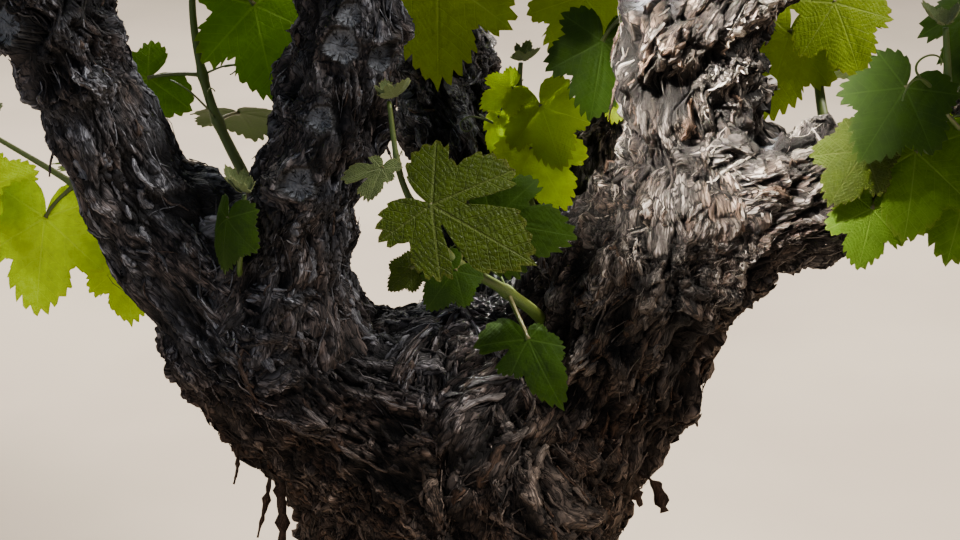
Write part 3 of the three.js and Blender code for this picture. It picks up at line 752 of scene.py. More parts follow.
# Old wood


@dataclass(frozen=True)
class Burl:
    """A swelling: how far along its limb, at which angle round it, how high and how wide."""

    along: float
    around: float
    height: float
    width: float


@dataclass(frozen=True)
class SawCut:
    """An old saw cut: a flat disc at a point, facing a way."""

    at: Point
    facing: Point
    radius: float


@dataclass(frozen=True)
class Limb:
    """One tapering piece of old wood: points of its axis, and its radius at each of them.

    "calm" is the middle and the reach of a stretch with smoother bark, in shares of the length.
    "chips" is how much of its loose bark comes off in broad chips, and "rough" multiplies the
    knobs, plates and fissures.
    """

    name: str
    through: list[Point]
    radius: list[float]
    burls: list[Burl] = field(default_factory=list)
    cuts: list[SawCut] = field(default_factory=list)
    place: int = 0
    cell: float = 1.3
    fineness: float = 1.0
    knobs: float = 3.0
    chips: float = 0.16
    rough: float = 1.0
    calm: tuple[float, float] = (0.0, 0.0)

    def axis(self, t: Array) -> Array:
        """Return points of the axis."""
        return curve(np.array(self.through, float), t)
    def plain(self, t: Array) -> Array:
        """Return the plain radius along the axis."""
        radius = np.array(self.radius, float)
        return spline(np.concatenate([radius[:1], radius, radius[-1:]])[:, None], t)[..., 0]

    def calm_at(self, share: Array) -> Array:
        """Return how smooth the bark lies at shares of the length: a bell over the calm stretch."""
        middle, reach = self.calm
        return smooth(reach, 0.5 * reach, np.abs(share - middle)) if reach else 0 * share

    def length(self) -> float:
        """Return the axis's length."""
        points = self.axis(np.linspace(0, 1, 201))
        return float(np.linalg.norm(np.diff(points, axis=0), axis=1).sum())


# The trunk's flare: the height over which it fades, and its share of the radius.
FLARE_HEIGHT, FLARE_SHARE = 62.0, 0.3
# How far a limb's tip reaches for its radius, and how softly limbs flow together.
TIP_ROUNDING, BLEND = 0.7, 8.5
# How a section grows into its neighbours: in how many steps, how fast, and at most how far.
GROWTH_STEPS, GROWTH_RATE, GROWTH_MOST, GROWTH_MARGIN = 16, 0.75, 1.32, 5.0
# The coarse grid that the growth is worked out on.
COARSE_ROWS, COARSE_COLUMNS = 64, 56
# How far under its own plane a saw cut still flattens the wood.
CUT_REACH = 13
# Where the seeds of the wood's and the loose bark's patterns start.
SECTION_SEED, RELIEF_SEED, SPLIT_SEED, FACE_SEED = 101, 1000, 77, 78
FLOW_SEED, PATCH_SEED, SPECK_SEED, BARE_SEED = 900, 951, 952, 953

LIMBS = [
    Limb("trunk", [(0, 0, 0), (-7, 5, 75), (-5, 4, 150), (0, 1, 228), (6, 0, 284), (4, 2, 326)],
         [82, 80, 77, 83, 84, 62],
         [Burl(0.78, -60, 12, 42), Burl(0.62, 20, 13, 34), Burl(0.5, 150, 10, 40), Burl(0.35, -120, 9, 36),
          Burl(0.24, -30, 10, 30), Burl(0.42, -75, -9, 24)], cell=1.65),
    Limb("left_limb", [(-8, 0, 258), (-44, -3, 297), (-80, -6, 334), (-114, -10, 374)], [58, 54, 50, 45],
         [Burl(0.62, 200, 8, 34), Burl(0.9, -80, 6, 30)]),
    Limb("right_limb", [(6, 0, 262), (48, -4, 318), (82, -8, 366), (106, -10, 408), (120, -10, 434)],
         [60, 55, 50, 46, 38], [Burl(0.42, -5, 14, 30), Burl(0.78, -75, 10, 26), Burl(0.62, 170, 6, 26)],
         chips=0.28, rough=1.3),
    Limb("left_arm", [(-112, -10, 368), (-149, -14, 416), (-168, -20, 452), (-181, -28, 498),
                      (-190, -35, 528), (-197, -42, 560), (-206, -48, 592)], [38, 32, 29, 27, 28, 28, 20],
         [Burl(0.76, 200, 8, 17), Burl(0.24, 40, 6, 20), Burl(0.12, -5, 14, 30)],
         [SawCut((-212, -60, 545), (-0.62, -0.7, 0.35), 12)], cell=1.2, fineness=0.85, calm=(0.34, 0.3)),
    Limb("centre_arm", [(-98, -18, 364), (-84, -25, 414), (-75, -28, 452), (-62, -27, 486), (-55, -25, 520),
                        (-53, -20, 554), (-52, -12, 590)], [33, 28, 28, 28, 25, 24, 18],
         [Burl(0.12, 185, 10, 26), Burl(0.33, -118, 8, 19), Burl(0.55, 10, 5, 17), Burl(0.72, -40, 5, 14)],
         [SawCut((-77, -58, 464), (-0.2, -0.94, 0.26), 9), SawCut((-66, -53, 496), (-0.22, -0.93, 0.3), 7),
          SawCut((-55, -48, 531), (0, -0.95, 0.3), 9.5), SawCut((-37, -42, 523), (0.6, -0.75, 0.25), 7.5),
          SawCut((-51, -46, 546), (0.1, -0.95, 0.3), 6.5)], cell=1.08, fineness=0.66),
    Limb("upper_right_arm", [(120, -10, 424), (121, -10, 466), (116, -8, 498), (119, -6, 526),
                             (140, -2, 549), (166, 4, 570), (188, 9, 592)], [38, 31, 35, 36, 30, 25, 19],
         [Burl(0.5, 190, 5, 20), Burl(0.3, -20, 6, 18)],
         [SawCut((98, -16, 550), (-0.6, -0.22, 0.77), 17)], cell=1.2, fineness=0.85, chips=0.34, rough=1.45),
    Limb("lower_right_arm", [(122, -10, 424), (152, -8, 434), (178, -5, 440), (203, 0, 447), (224, 3, 458)],
         [40, 36, 34, 30, 20], [Burl(0.45, 100, 6, 18), Burl(0.7, -70, 7, 20)],
         [SawCut((152, -10, 471), (-0.08, -0.12, 0.99), 15)], cell=1.2, fineness=0.85, chips=0.36,
         rough=1.5),
    Limb("back_right_arm", [(56, 26, 344), (76, 68, 398), (92, 104, 440), (108, 130, 470), (120, 148, 500),
                            (128, 162, 532)], [34, 30, 28, 27, 25, 18], [Burl(0.55, 60, 6, 20)], cell=1.5,
         fineness=0.85),
    Limb("back_left_arm", [(10, 38, 312), (18, 84, 366), (9, 120, 412), (-4, 144, 448), (-12, 156, 482),
                           (-18, 166, 514)], [36, 31, 29, 28, 26, 18], [Burl(0.5, 200, 7, 20)], cell=1.5,
         fineness=0.85),
]
LIMBS = [replace(limb, place=i) for i, limb in enumerate(LIMBS)]


def beyond_limbs(points: Array, skip: str = "", swell: float = 1.0) -> Array:
    """Return how far points lie outside each limb's plain radius.

    Args:
        points: places, the last axis holding x, y and z.
        skip: a limb that is left out.
        swell: what the radii are multiplied by.

    Returns:
        One value for each limb and point: the distance from the nearest piece of the axis less the
        radius there. Past the limb's tip the distance onward counts 1 / TIP_ROUNDING times.
    """
    found = []
    for limb in LIMBS:
        if limb.name == skip:
            continue
        axis, radius = np.array(limb.through, float), np.array(limb.radius, float) * swell
        best = np.full(points.shape[:-1], np.inf)
        for i, way in enumerate(np.diff(axis, axis=0)):
            t = ((points - axis[i]) @ way) / (way @ way)
            held = np.clip(t, 0.0, 1.0)
            off = points - axis[i] - held[..., None] * way
            past = (t - 1.0) * np.linalg.norm(way) * (i == len(axis) - 2)
            extra = np.where(past > 0, past**2 * (TIP_ROUNDING**-2 - 1), 0.0)
            away = np.sqrt((off**2).sum(-1) + extra) - (radius[i] + (radius[i + 1] - radius[i]) * held)
            best = np.minimum(best, away)
        found.append(best)
    return np.array(found)


@dataclass(frozen=True)
class Knot:
    """A burl or a cut that the grain parts round: its angle, its place along the limb and its size."""

    angle: float
    along: float
    size: float

    def part(self, across: Array, along: Array, radius: float) -> tuple[Array, Array, Array]:
        """Return how the grain parts here, as a stream parts round a post.

        Args:
            across: distances round the limb, in millimetres.
            along: distances along it.
            radius: the limb's mean radius.

        Returns:
            The distances from the knot both ways, and a share: the size squared over itself plus
            the distance squared, which fades out at four sizes.
        """
        half = math.pi * radius
        u = (across - self.angle * radius + half) % (2 * half) - half
        v = along - self.along
        away = np.hypot(u, v) / self.size
        return u, v, (1 - smooth(1.6, 4.0, away)) / (1 + away**2)


@dataclass
class BarkSurface:
    """A limb's surface on a grid of rows along it and columns round it, before and after relief."""

    base: Array
    normal: Array
    height: Array
    radius: float
    limb: Limb
    step: float
    knots: list[Knot]

    def turn(self, across: Array, along: Array) -> Array:
        """Return the grain's angle to the limb: the stream's slope, added up over the knots."""
        total = np.zeros(across.shape)
        for knot in self.knots:
            u, v, share = knot.part(across, along, self.radius)
            u, v = u / knot.size, v / knot.size
            total += np.arctan2(-2 * u * v * share**2, 1 + share - 2 * (v * share) ** 2)
        return total

    def read(self, rows: Array, columns: Array) -> tuple[Array, Array, Array]:
        """Return base point, normal and relief at places between the grid's points, bilinearly."""
        count, around = self.height.shape
        i, j = np.clip(rows, 0, count - 1.001), columns % around
        i0, j0 = np.floor(i).astype(int), np.floor(j).astype(int) % around
        w, v = (i % 1.0)[..., None], (j % 1.0)[..., None]
        j1 = (j0 + 1) % around
        out = []
        for grid in (self.base, self.normal, self.height[..., None]):
            near = grid[i0, j0] * (1 - v) + grid[i0, j1] * v
            far = grid[i0 + 1, j0] * (1 - v) + grid[i0 + 1, j1] * v
            out.append(near * (1 - w) + far * w)
        return out[0], unit(out[1]), out[2][..., 0]


@dataclass
class Wood:
    """The old wood: the trunk, two limbs and six arms, as swept skins with their bark in relief.

    The numbers are the heights of the bark's forms in millimetres, with the roll round saw cuts
    and the winding ropes of the trunk, and the angle in degrees from which a crease is sharp.
    """

    lump: float = 4.2
    knob: float = 3.8
    hollow: float = 7.5
    rope: float = 4.6
    fissure: float = 4.4
    layer: float = 1.35
    plate: float = 2.0
    strip: float = 1.2
    roll: float = 2.2
    winding: float = 4.5
    crease: float = 42.0
    surfaces: list[BarkSurface] = field(default_factory=list)

    def section(self, limb: Limb, t: Array, angle: Array) -> Array:
        """Return a limb's radius on a grid of places along it and angles round it.

        The plain radius is multiplied by one plus three slow waves round the section, each a
        cosine that turns along the limb. A burl adds its height times a bell of the distance from
        it. The trunk's flare adds a share that dies away upwards, with five toes, and its ropes a
        cosine that winds and sways. On the other limbs, knobs are a cosine round the limb times
        one along it, each swaying with the other.
        """
        dice = Dice(SECTION_SEED + 17 * limb.place)
        plain, length, t = limb.plain(t)[:, None], limb.length(), t[:, None]
        share = np.ones((len(t), len(angle)))
        for lobes in (2, 3, 5):
            height = dice.between(0.6, 1.0) * 0.1 / lobes
            phase, twist = dice.between(0, 2 * math.pi), dice.between(-3, 3)
            share += height * np.cos(lobes * angle + phase + twist * t)
        radius = plain * share
        for burl in limb.burls:
            across = plain * np.arccos(np.clip(np.cos(angle - math.radians(burl.around)), -1, 1))
            down = (t - burl.along) * length
            radius = radius + burl.height * np.exp(-(across**2 + down**2) / burl.width**2)
        if limb.name == "trunk":
            toes = 0.75 + 0.25 * np.cos(5 * angle + 1.2) + 0.15 * np.cos(2 * angle)
            sway = 1.1 * np.sin(2 * angle + 5 * t) + 0.55 * np.sin(3 * angle - 9 * t)
            radius = radius + plain * FLARE_SHARE * np.exp(-t * length / FLARE_HEIGHT) * toes
            return radius + self.winding * np.cos(8 * angle + 0.6 * math.pi * t + sway)
        along = 2 * math.pi * t * length
        row = np.cos(3 * angle + 1.5 * np.sin(along / 140))
        return radius + limb.knobs * row * np.cos(along / 54 + 2 * np.sin(2 * angle))

    def flowing(self, limb: Limb, t: Array, angle: Array) -> Array:
        """Return how far the section grows where the limb flows into the others.

        The growth stops where minus k times the logarithm of the sum of exp(-distance / k), over
        all limbs' distances, comes to nothing, so that forks fill out in a soft crease.
        """
        own = self.section(limb, t, angle)
        centre, way = limb.axis(t), round_about(self.slope(limb, t), angle)
        grown, most = own.copy(), own * GROWTH_MOST + GROWTH_MARGIN
        for _ in range(GROWTH_STEPS):
            others = beyond_limbs(centre[:, None] + way * grown[..., None], limb.name)
            total = np.exp(-(grown - own) / BLEND) + np.exp(-np.clip(others, -90, None) / BLEND).sum(0)
            grown = np.clip(grown + GROWTH_RATE * BLEND * np.log(total), own, most)
        return grown - own

    @staticmethod
    def slope(limb: Limb, t: Array) -> Array:
        """Return the axis's direction, by differences over a thousandth of it."""
        return unit(limb.axis(np.clip(t + 0.001, 0, 1)) - limb.axis(np.clip(t - 0.001, 0, 1)))

    def relief(self, q: Array, limb: Limb) -> tuple[Array, Array, Array]:
        """Return the bark's height in millimetres, its crevices and its ridges.

        Args:
            q: places round and along the limb, in millimetres.
            limb: the limb.

        Returns:
            The height is a sum. Slow noise gives lumps, knobs and hollows. Noise stretched along
            the bent grain gives ropes, whose creases are where it crosses nothing, fissures in the
            same way, and layers where its whole part steps. Two sets of long cells, plates and
            strips, each stand at their own height, tilt along the grain, and part in cracks. Then
            masks from 0 to 1 of the crevices, for painted shade, and of the ridges, for weathered
            grey with a painted highlight.
        """
        seed, fineness, rough = RELIEF_SEED + 37 * limb.place, limb.fineness, limb.rough

        def wave(k: int, *scale: float, at: Array = q) -> Array:
            """Return noise number k, stretched by its scale."""
            return noise(at / scale, seed + k)

        slow, middling = (30, 30, 48), (11, 11, 19)
        bent = q + np.stack([wave(1, *slow) * 11.0, wave(2, *slow) * 11.0, wave(3, *slow) * 6.0], -1)
        curl = np.stack([wave(4, *middling), wave(12, *middling), 0 * q[..., 0]], -1) * 3.2
        fray = wave(13, 2.6, 2.6, 6)[..., None] * (0.9, -0.9, 1.2)
        bent = (bent + curl + fray) / fineness
        lumps = wave(5, 34, 34, 40) * self.lump + wave(14, 17, 17, 22) * self.knob * rough
        hollow = smooth(0.22, 0.62, wave(15, 19, 19, 30)) * self.hollow
        rope = 2.3 * np.abs(wave(6, 14, 14, 60, at=bent)) ** 0.8 - 0.75
        gap = np.abs(wave(7, 10, 10, 44, at=bent) + 0.35 * wave(8, 5, 5, 26, at=bent))
        gap = rough * (1.0 - smooth(0.0, 0.2, gap)) * smooth(-0.35, 0.25, wave(16, 26))
        layers = 2.6 * wave(17, 8.5, 8.5, 30, at=bent) + 0.7 * wave(18, 3.6, 3.6, 12, at=bent)
        layer = np.floor(layers) + smooth(0.72, 1.0, layers % 1.0)
        edge, number, above = cells(bent / (6.5 * rough, 6.5 * rough, 18.0), seed + 9)
        plate = rough * ((number - 0.5) * 1.1 + above * 0.7 - 0.7 * (1.0 - smooth(0.0, 0.17, edge)))
        edge, number, above = cells(bent / (2.6, 2.6, 9.5), seed + 10)
        strip = (number - 0.5) * 1.1 + above * 0.6 - 0.75 * (1.0 - smooth(0.0, 0.22, edge))
        fine = wave(11, 1.4, 1.4, 5, at=bent) * 0.35
        grained = rope * self.rope - gap * self.fissure + layer * self.layer + plate * self.plate
        height = lumps - hollow + fineness * (grained + strip * self.strip + fine)
        local = rope * 1.5 - gap * 1.9 + layer * 0.7 + plate * 0.9 + strip * 0.9 + fine
        local = fineness * local - 0.25 * hollow
        # Painted shade: the mask of the crevices, the gaps and the hollows.
        crevice_shade = np.clip(smooth(0.5, 2.4, -local) + 0.7 * gap + 0.1 * hollow, 0, 1)
        # The ridges' mask, for weathered grey with a painted highlight.
        ridge = smooth(-0.2, 1.6, local) * (1 - np.minimum(gap, 1))
        return height, crevice_shade, ridge

    def knots(self, limb: Limb) -> list[Knot]:
        """Return a limb's knots: its burls, and its cuts at the axis's nearest point."""
        length = limb.length()
        found = [Knot(math.radians(b.around), b.along * length, 0.45 * b.width) for b in limb.burls]
        t = np.linspace(0, 1, 201)
        axis = limb.axis(t)
        first, second = square_to(self.slope(limb, t))
        for cut in limb.cuts:
            off = np.array(cut.at, float) - axis
            k = int(np.argmin(np.linalg.norm(off, axis=1)))
            angle = math.atan2(off[k] @ second[k], off[k] @ first[k])
            found.append(Knot(angle, t[k] * length, 1.15 * cut.radius))
        return found

    def grain(self, knots: list[Knot], along: Array, angle: Array, radius: float) -> Array:
        """Return pattern places on a limb: round its mean cylinder, with the grain parting at knots.

        At each knot the distance across shrinks by its share, and the distance along grows by it.
        """
        across = (angle * radius)[None] + 0.0 * along[:, None]
        down = along[:, None] + 0.0 * across
        for knot in knots:
            u, v, share = knot.part(across, down, radius)
            across, down = across - 0.9 * share * u, down + share * v
        a = across / radius + 0.004 * down
        return np.stack([radius * np.cos(a), radius * np.sin(a), down], -1)

    def saw(self, limb: Limb, points: Array) -> tuple[Array, Array]:
        """Flatten a limb's saw cuts and raise the rolled bark round them.

        Args:
            limb: the limb.
            points: its surface with relief.

        Returns:
            The points, laid on the cut's plane inside its radius, less radial splits, and raised
            by a bell of the distance from its rim. Then each point's place on the cut, with how
            far it belongs to it.
        """
        place = np.zeros(points.shape)
        for cut in limb.cuts:
            facing = unit(np.array(cut.facing, float))
            across = unit(np.cross(facing, UP + 0.01))
            off = points - np.array(cut.at, float)
            x, y, h = off @ across, off @ np.cross(facing, across), off @ facing
            angle = np.arctan2(y, x)
            wobble = 1.0 + 0.07 * np.sin(3 * angle + 1) + 0.05 * np.sin(5 * angle) + 0.04 * np.sin(8 * angle)
            out, near = np.hypot(x, y) / wobble, h > -CUT_REACH
            inside = (1.0 - smooth(cut.radius * 0.86, cut.radius * 1.02, out)) * near
            split = noise(np.stack([np.cos(angle) * 2.4, np.sin(angle) * 2.4, out / 30], -1), SPLIT_SEED)
            split = (1.0 - smooth(0.0, 0.16, np.abs(split))) * smooth(0.0, 0.3, out / cut.radius)
            face = -1.0 - 0.9 * split + 0.25 * noise(off / 3.0, FACE_SEED)
            callus = (out - cut.radius * 1.12) / (0.16 * cut.radius + 1.2)
            callus = self.roll * np.exp(-(callus**2)) * near
            points = points + facing * (((face - h) * inside) + callus)[..., None]
            laid = np.stack([x / cut.radius, y / cut.radius, inside], -1)
            place = np.where((inside > 0)[..., None], laid, place)
        return points, place

    def sweep(self, limb: Limb, skin: Skin) -> BarkSurface:
        """Sweep one limb.

        A point is the axis's point plus, square to the axis, the grown section's radius at its
        angle. Past the end the rings close over the tip on an ellipse. The relief then moves each
        point out along the base surface's normal.

        Args:
            limb: the limb.
            skin: the skin that it is added to.

        Returns:
            The surface that the loose strips are laid on.
        """
        trunk, length = limb.name == "trunk", limb.length()
        biggest = float(np.max(limb.radius)) * (1.18 if trunk else 1.0)
        columns = int(round(2 * math.pi * biggest / limb.cell / 2)) * 2
        rows = int(round(length / limb.cell))
        t, angle = np.linspace(0, 1, rows), turns(columns)
        grown = self.flowing(limb, np.linspace(0, 1, COARSE_ROWS), turns(COARSE_COLUMNS))
        grown = resample(grown, t * (COARSE_ROWS - 1), False)
        grown = resample(grown.T, angle / (2 * math.pi) * COARSE_COLUMNS, True).T
        radius = self.section(limb, t, angle) + np.maximum(grown, 0)
        tip = limb.radius[-1] * TIP_ROUNDING
        caps = max(4, int(limb.radius[-1] * 1.35 / limb.cell))
        slope = np.linspace(0, math.pi / 2, caps + 1)[1:-1]
        tangent = self.slope(limb, t)
        centre = np.vstack([limb.axis(t), limb.axis(t[-1:]) + tangent[-1] * (tip * np.sin(slope))[:, None]])
        tangent = np.vstack([tangent, np.repeat(tangent[-1:], len(slope), axis=0)])
        radius = np.vstack([radius, radius[-1] * np.cos(slope)[:, None]])
        base = centre[:, None] + round_about(tangent, angle) * radius[..., None]
        around_way = np.roll(base, -1, axis=1) - np.roll(base, 1, axis=1)
        normal = unit(np.cross(around_way, np.gradient(base, axis=0)))
        along = np.concatenate([t * length, length + tip * np.sin(slope)])
        mean, knots = float(np.mean(limb.radius)), self.knots(limb)
        q = self.grain(knots, along, angle, mean)
        height, crevice_shade, ridge = self.relief(q, limb)
        fade = smooth(0.0, 7.0, along) if trunk else np.ones(len(along))
        height = height * (fade * (1 - 0.5 * limb.calm_at(along / length)))[:, None]
        points, place = self.saw(limb, base + normal * height[..., None])
        bare = 1 - place[..., 2]
        top = centre[-1] + tangent[-1] * (tip - tip * math.sin(slope[-1]) + float(height[-1].mean()))
        if trunk:
            points[0, :, 2] = 0.0
            points[..., 2] = np.maximum(points[..., 2], 0.0)
        # The crevices' painted shade and the ridges' painted highlight, left off saw cuts, and the cut.
        marks = np.stack([crevice_shade * bare, ridge * bare, place[..., 2]], -1).reshape(-1, 3)
        poles = np.zeros((2, 3))
        skin.add(np.vstack([points.reshape(-1, 3), np.array([limb.through[0], top], float)]),
                 *tube_faces(len(points), columns), grain=np.vstack([q.reshape(-1, 3), q[0, :1], q[-1, :1]]),
                 relief=np.vstack([marks, poles]), cut=np.vstack([place.reshape(-1, 3), poles]))
        return BarkSurface(base, normal, height * bare, mean, limb, length / (rows - 1), knots)

    def build(self, bark: bpy.types.Material) -> None:
        """Build each limb as a piece of its own, dressed in bark."""
        for limb in LIMBS:
            skin = Skin()
            self.surfaces.append(self.sweep(limb, skin))
            skin.build(limb.name + "_bark", [bark], Slot.BARK, (limb.name,), self.crease)


# Loose bark


def ribbon(path: Array, side: Array, normal: Array, width: Array, thick: Array, cup: Array) -> Array:
    """Return closed ribbons as a grid of points.

    Args:
        path: middle lines, as ribbons by rings by 3.
        side: the direction across, alike.
        normal: the direction outwards, alike.
        width: half the width at each ring.
        thick: the thickness at each ring.
        cup: how far the edges stand up, as a share of half the width.

    Returns:
        Ribbons by rings by 4 points: right edge, upper middle, left edge, lower middle. An edge is
        the middle line plus the half width across and the cup outwards.
    """
    edge, lip = side * width[..., None], normal * (width * cup)[..., None]
    high, low = normal * thick[..., None], normal * (0.3 * thick)[..., None]
    return np.stack([path + edge + lip, path + high, path - edge + lip, path - low], axis=2)


def add_ribbons(skin: Skin, grid: Array, grain: Array) -> None:
    """Add ribbons to a skin, with a quad over each open end.

    Args:
        skin: the skin that is being put together.
        grid: ribbons by rings by 4 points.
        grain: a pattern place for each point.
    """
    many, rings, around = grid.shape[:3]
    last = (rings - 1) * around + np.arange(4)
    quads = np.vstack([grid_faces(rings, around), [[3, 2, 1, 0]], [last]])
    starts = np.arange(many) * rings * around
    quads = (quads[None] + starts[:, None, None]).reshape(-1, 4)
    skin.add(grid.reshape(-1, 3), quads, np.zeros((0, 3), int), grain=grain.reshape(-1, 3))


# Each tone of loose bark, with its share.
FLAKES = [
    (Flake("bark_dark", (0.029, 0.0265, 0.025)), 0.27),
    (Flake("bark_brown", (0.062, 0.054, 0.048)), 0.28),
    (Flake("bark_rust", (0.092, 0.063, 0.045)), 0.07),
    (Flake("bark_grey", (0.165, 0.156, 0.147)), 0.25),
    (Flake("bark_pale", (0.270, 0.255, 0.238)), 0.13),
]
HANGING_BARK = Flake("bark_hanging", (0.085, 0.062, 0.048))


@dataclass
class LooseBark:
    """Strips and flakes that peel off the old wood, and a few long ones that hang from it.

    "per_square" is how many there are on a square millimetre, "lift" how far free ends stand off,
    "rings" how many rows of points a strip has, "fibres" the share of thin ones, and "sunk" how
    deep in another limb one may lie, as a distance outwards.
    """

    per_square: float = 0.022
    lift: float = 3.0
    rings: int = 7
    fibres: float = 0.3
    sunk: float = -4.0
    seed: int = 20

    def strips(self, surface: BarkSurface, dice: np.random.Generator) -> tuple[Array, Array, Array]:
        """Lay strips on one limb.

        They lie on the relief, averaged along them. One end lifts off by a power of the distance
        and curls back, and the other a little. The width changes at random from ring to ring, and
        the ends are torn off blunt.

        Args:
            surface: the limb's surface.
            dice: the random numbers.

        Returns:
            The grid of points, the pattern places, and a number by which each strip gets its tone:
            slow noise, how high it lies, so that strips low in the hollows take darker tones as painted
            shade and high ones paler as a painted highlight, and chance.
        """
        limb, rings, middle = surface.limb, self.rings, self.rings // 2
        rows = len(surface.height)
        many = int(rows * surface.step * 2 * math.pi * surface.radius * self.per_square / limb.fineness)
        long, half = self.sizes(many, limb, dice)
        along, across = self.routes(surface, long, dice)
        u = np.linspace(0, 1, rings)[None]
        base, normal, height = surface.read(along, across)
        padded = np.pad(height, ((0, 0), (1, 1)), mode="edge")
        height = 0.25 * padded[:, :-2] + 0.5 * height + 0.25 * padded[:, 2:]
        free = np.where(dice.random(many) < 0.5, 1.0, -1.0)[:, None]
        far = np.clip((2 * u - 1) * free * 0.6 + 0.4, 0, 1)
        near = np.clip(-(2 * u - 1) * free, 0, 1)
        rise = self.lift * dice.random(many)[:, None] ** 2.0 * (0.3 + long[:, None] / 22)
        lifted = rise * (far**2.2 + 0.25 * near**2) + 0.2 + 0.25 * dice.normal(0, 1, (many, rings))
        path = base + normal * (height + lifted)[..., None]
        tangent = unit(np.gradient(path, axis=1))
        path = path - tangent * (0.6 * rise * far**3)[..., None] * free[..., None]
        side = unit(np.cross(tangent, normal))
        spin = dice.normal(0, 0.3, many)[:, None] + dice.normal(0, 0.9, many)[:, None] * far**1.5
        side, out = rolled(side, np.cross(side, tangent), spin)
        taper = 1.0 - 0.55 * np.abs(2 * u - 1) ** 5 + dice.normal(0, 0.16, (many, rings))
        taper = np.clip(taper, 0.25, 1.5)
        thick = (0.3 + 0.35 * dice.random(many)) * np.minimum(1, half)
        thick = thick[:, None] * (0.4 + 0.6 * taper)
        cup = dice.normal(0.05, 0.3, many)[:, None] + dice.normal(0, 0.12, (many, rings))
        width = half[:, None] * taper
        grid = ribbon(path, side, out, width, thick, cup)
        at = base[:, middle]
        kept = (beyond_limbs(at, limb.name).min(0) > self.sunk) & (grid[..., 2].min((1, 2)) > 0.4)
        bare = np.maximum(0.75 * limb.calm_at(along[:, middle] / rows),
                          0.8 * (1 - smooth(-0.35, 0.1, noise(at / 17.0, BARE_SEED))))
        kept &= dice.random(many) >= bare
        for cut in limb.cuts:
            away = np.linalg.norm(grid - np.array(cut.at, float), axis=-1).min((1, 2))
            kept &= away > cut.radius * 1.05
        flat = 0 * grid[..., 0]
        q = np.stack([np.array([1.0, 0.0, -1.0, 0.0]) * width[..., None] + 31 * across[:, :1, None],
                      17.0 * along[:, :1, None] + flat, (long[:, None] * u)[..., None] + flat], -1)
        patch = noise(at / 24.0, PATCH_SEED) + 0.5 * noise(at / 9.0, SPECK_SEED)
        # Tone by slow noise and chance, with painted shade: lower strips darker, higher ones paler.
        tone_shade_and_chance = patch + 0.11 * (height[:, middle] - height.mean()) + dice.normal(0, 0.55, many)
        return grid[kept], q[kept], tone_shade_and_chance[kept]

    def sizes(self, many: int, limb: Limb, dice: np.random.Generator) -> tuple[Array, Array]:
        """Return strips' lengths and half widths: thin fibres, strips and the limb's broad chips."""
        kind = dice.random(many)
        fibre, chip = kind < self.fibres, kind > 1 - limb.chips
        long = np.where(fibre, 8 + 26 * dice.random(many),
                        np.where(chip, 7 + 13 * dice.random(many), 6 + 22 * dice.random(many) ** 1.8))
        half = np.where(fibre, 0.22 + 0.26 * dice.random(many),
                        np.where(chip, 1.6 + 1.8 * dice.random(many), 0.5 + 0.8 * dice.random(many)))
        return long * limb.fineness**0.5, half * limb.fineness**0.5

    def routes(self, surface: BarkSurface, long: Array, dice: np.random.Generator) -> tuple[Array, Array]:
        """Return where each strip's rings lie, along and round the limb in units of the grid.

        A strip starts at a random place and follows a direction field, slow noise over the limb,
        so that neighbours swirl together, and the grain's parting at knots.

        Args:
            surface: the limb's surface.
            long: the strips' lengths.
            dice: the random numbers.
        """
        rows, around = surface.height.shape
        many, rings, radius = len(long), self.rings, surface.radius
        along, across = (dice.random(many) * rows)[:, None], (dice.random(many) * around)[:, None]
        own = dice.normal(0, 0.22, many) + np.where(dice.random(many) < 0.06, dice.normal(0, 1.2, many), 0)
        step = long / (rings - 1)
        wiggle = dice.normal(0, 0.16, (many, rings))
        wiggle = wiggle + dice.normal(0, 0.16, (many, 1)) * np.linspace(-2, 2, rings)
        for k in range(rings - 1):
            a, down = across[:, -1] * 2 * math.pi / around, along[:, -1] * surface.step
            place = np.stack([radius * np.cos(a), radius * np.sin(a), down], -1)
            flow = noise(place / (26.0, 26.0, 36.0), FLOW_SEED + surface.limb.place)
            angle = own + 0.85 * flow + wiggle[:, k] + surface.turn(a * radius, down)
            onward = along[:, -1] + step * np.cos(angle) / surface.step
            aside = across[:, -1] + step * np.sin(angle) / (2 * math.pi * radius / around)
            along, across = np.column_stack([along, onward]), np.column_stack([across, aside])
        return along, across

    def hanging(self, surfaces: list[BarkSurface]) -> Array:
        """Return the long loose strips: each leaves its limb, hangs down and curls at its end.

        The path is the foot plus the length times: outwards, a power below one of the distance;
        downwards, a power above one; and a slow sine sideways.
        """
        rows = []
        u = np.linspace(0, 1, 15)
        w = u[:, None]
        for limb, along, around, long, out, half, spin in HANGING:
            surface = next(s for s in surfaces if s.limb.name == limb)
            count, columns = surface.height.shape
            place = np.array([along * count]), np.array([around / 360 * columns])
            base, normal, height = surface.read(*place)
            foot = base[0] + normal[0] * (height[0] - 1.0)
            side = unit(np.cross(normal[0], UP))
            path = foot + long * (normal[0] * (out * w**0.75) - UP * w**1.5 * 0.85
                                  + side * 0.09 * np.sin(5 * w + spin))
            tangent = unit(np.gradient(path, axis=0))
            across = unit(np.cross(tangent, normal[0]))
            across, face = rolled(across, np.cross(across, tangent), spin * u**0.7)
            ragged = 1 + 0.3 * np.sin(23 * u + spin) + 0.25 * np.sin(41 * u + 3 * spin)
            ragged = half * (1 - 0.6 * u**2) * ragged
            even = np.ones((1, len(u)))
            rows.append(ribbon(path[None], across[None], face[None], ragged[None], 1.1 * even, 0.3 * even))
        return np.concatenate(rows)

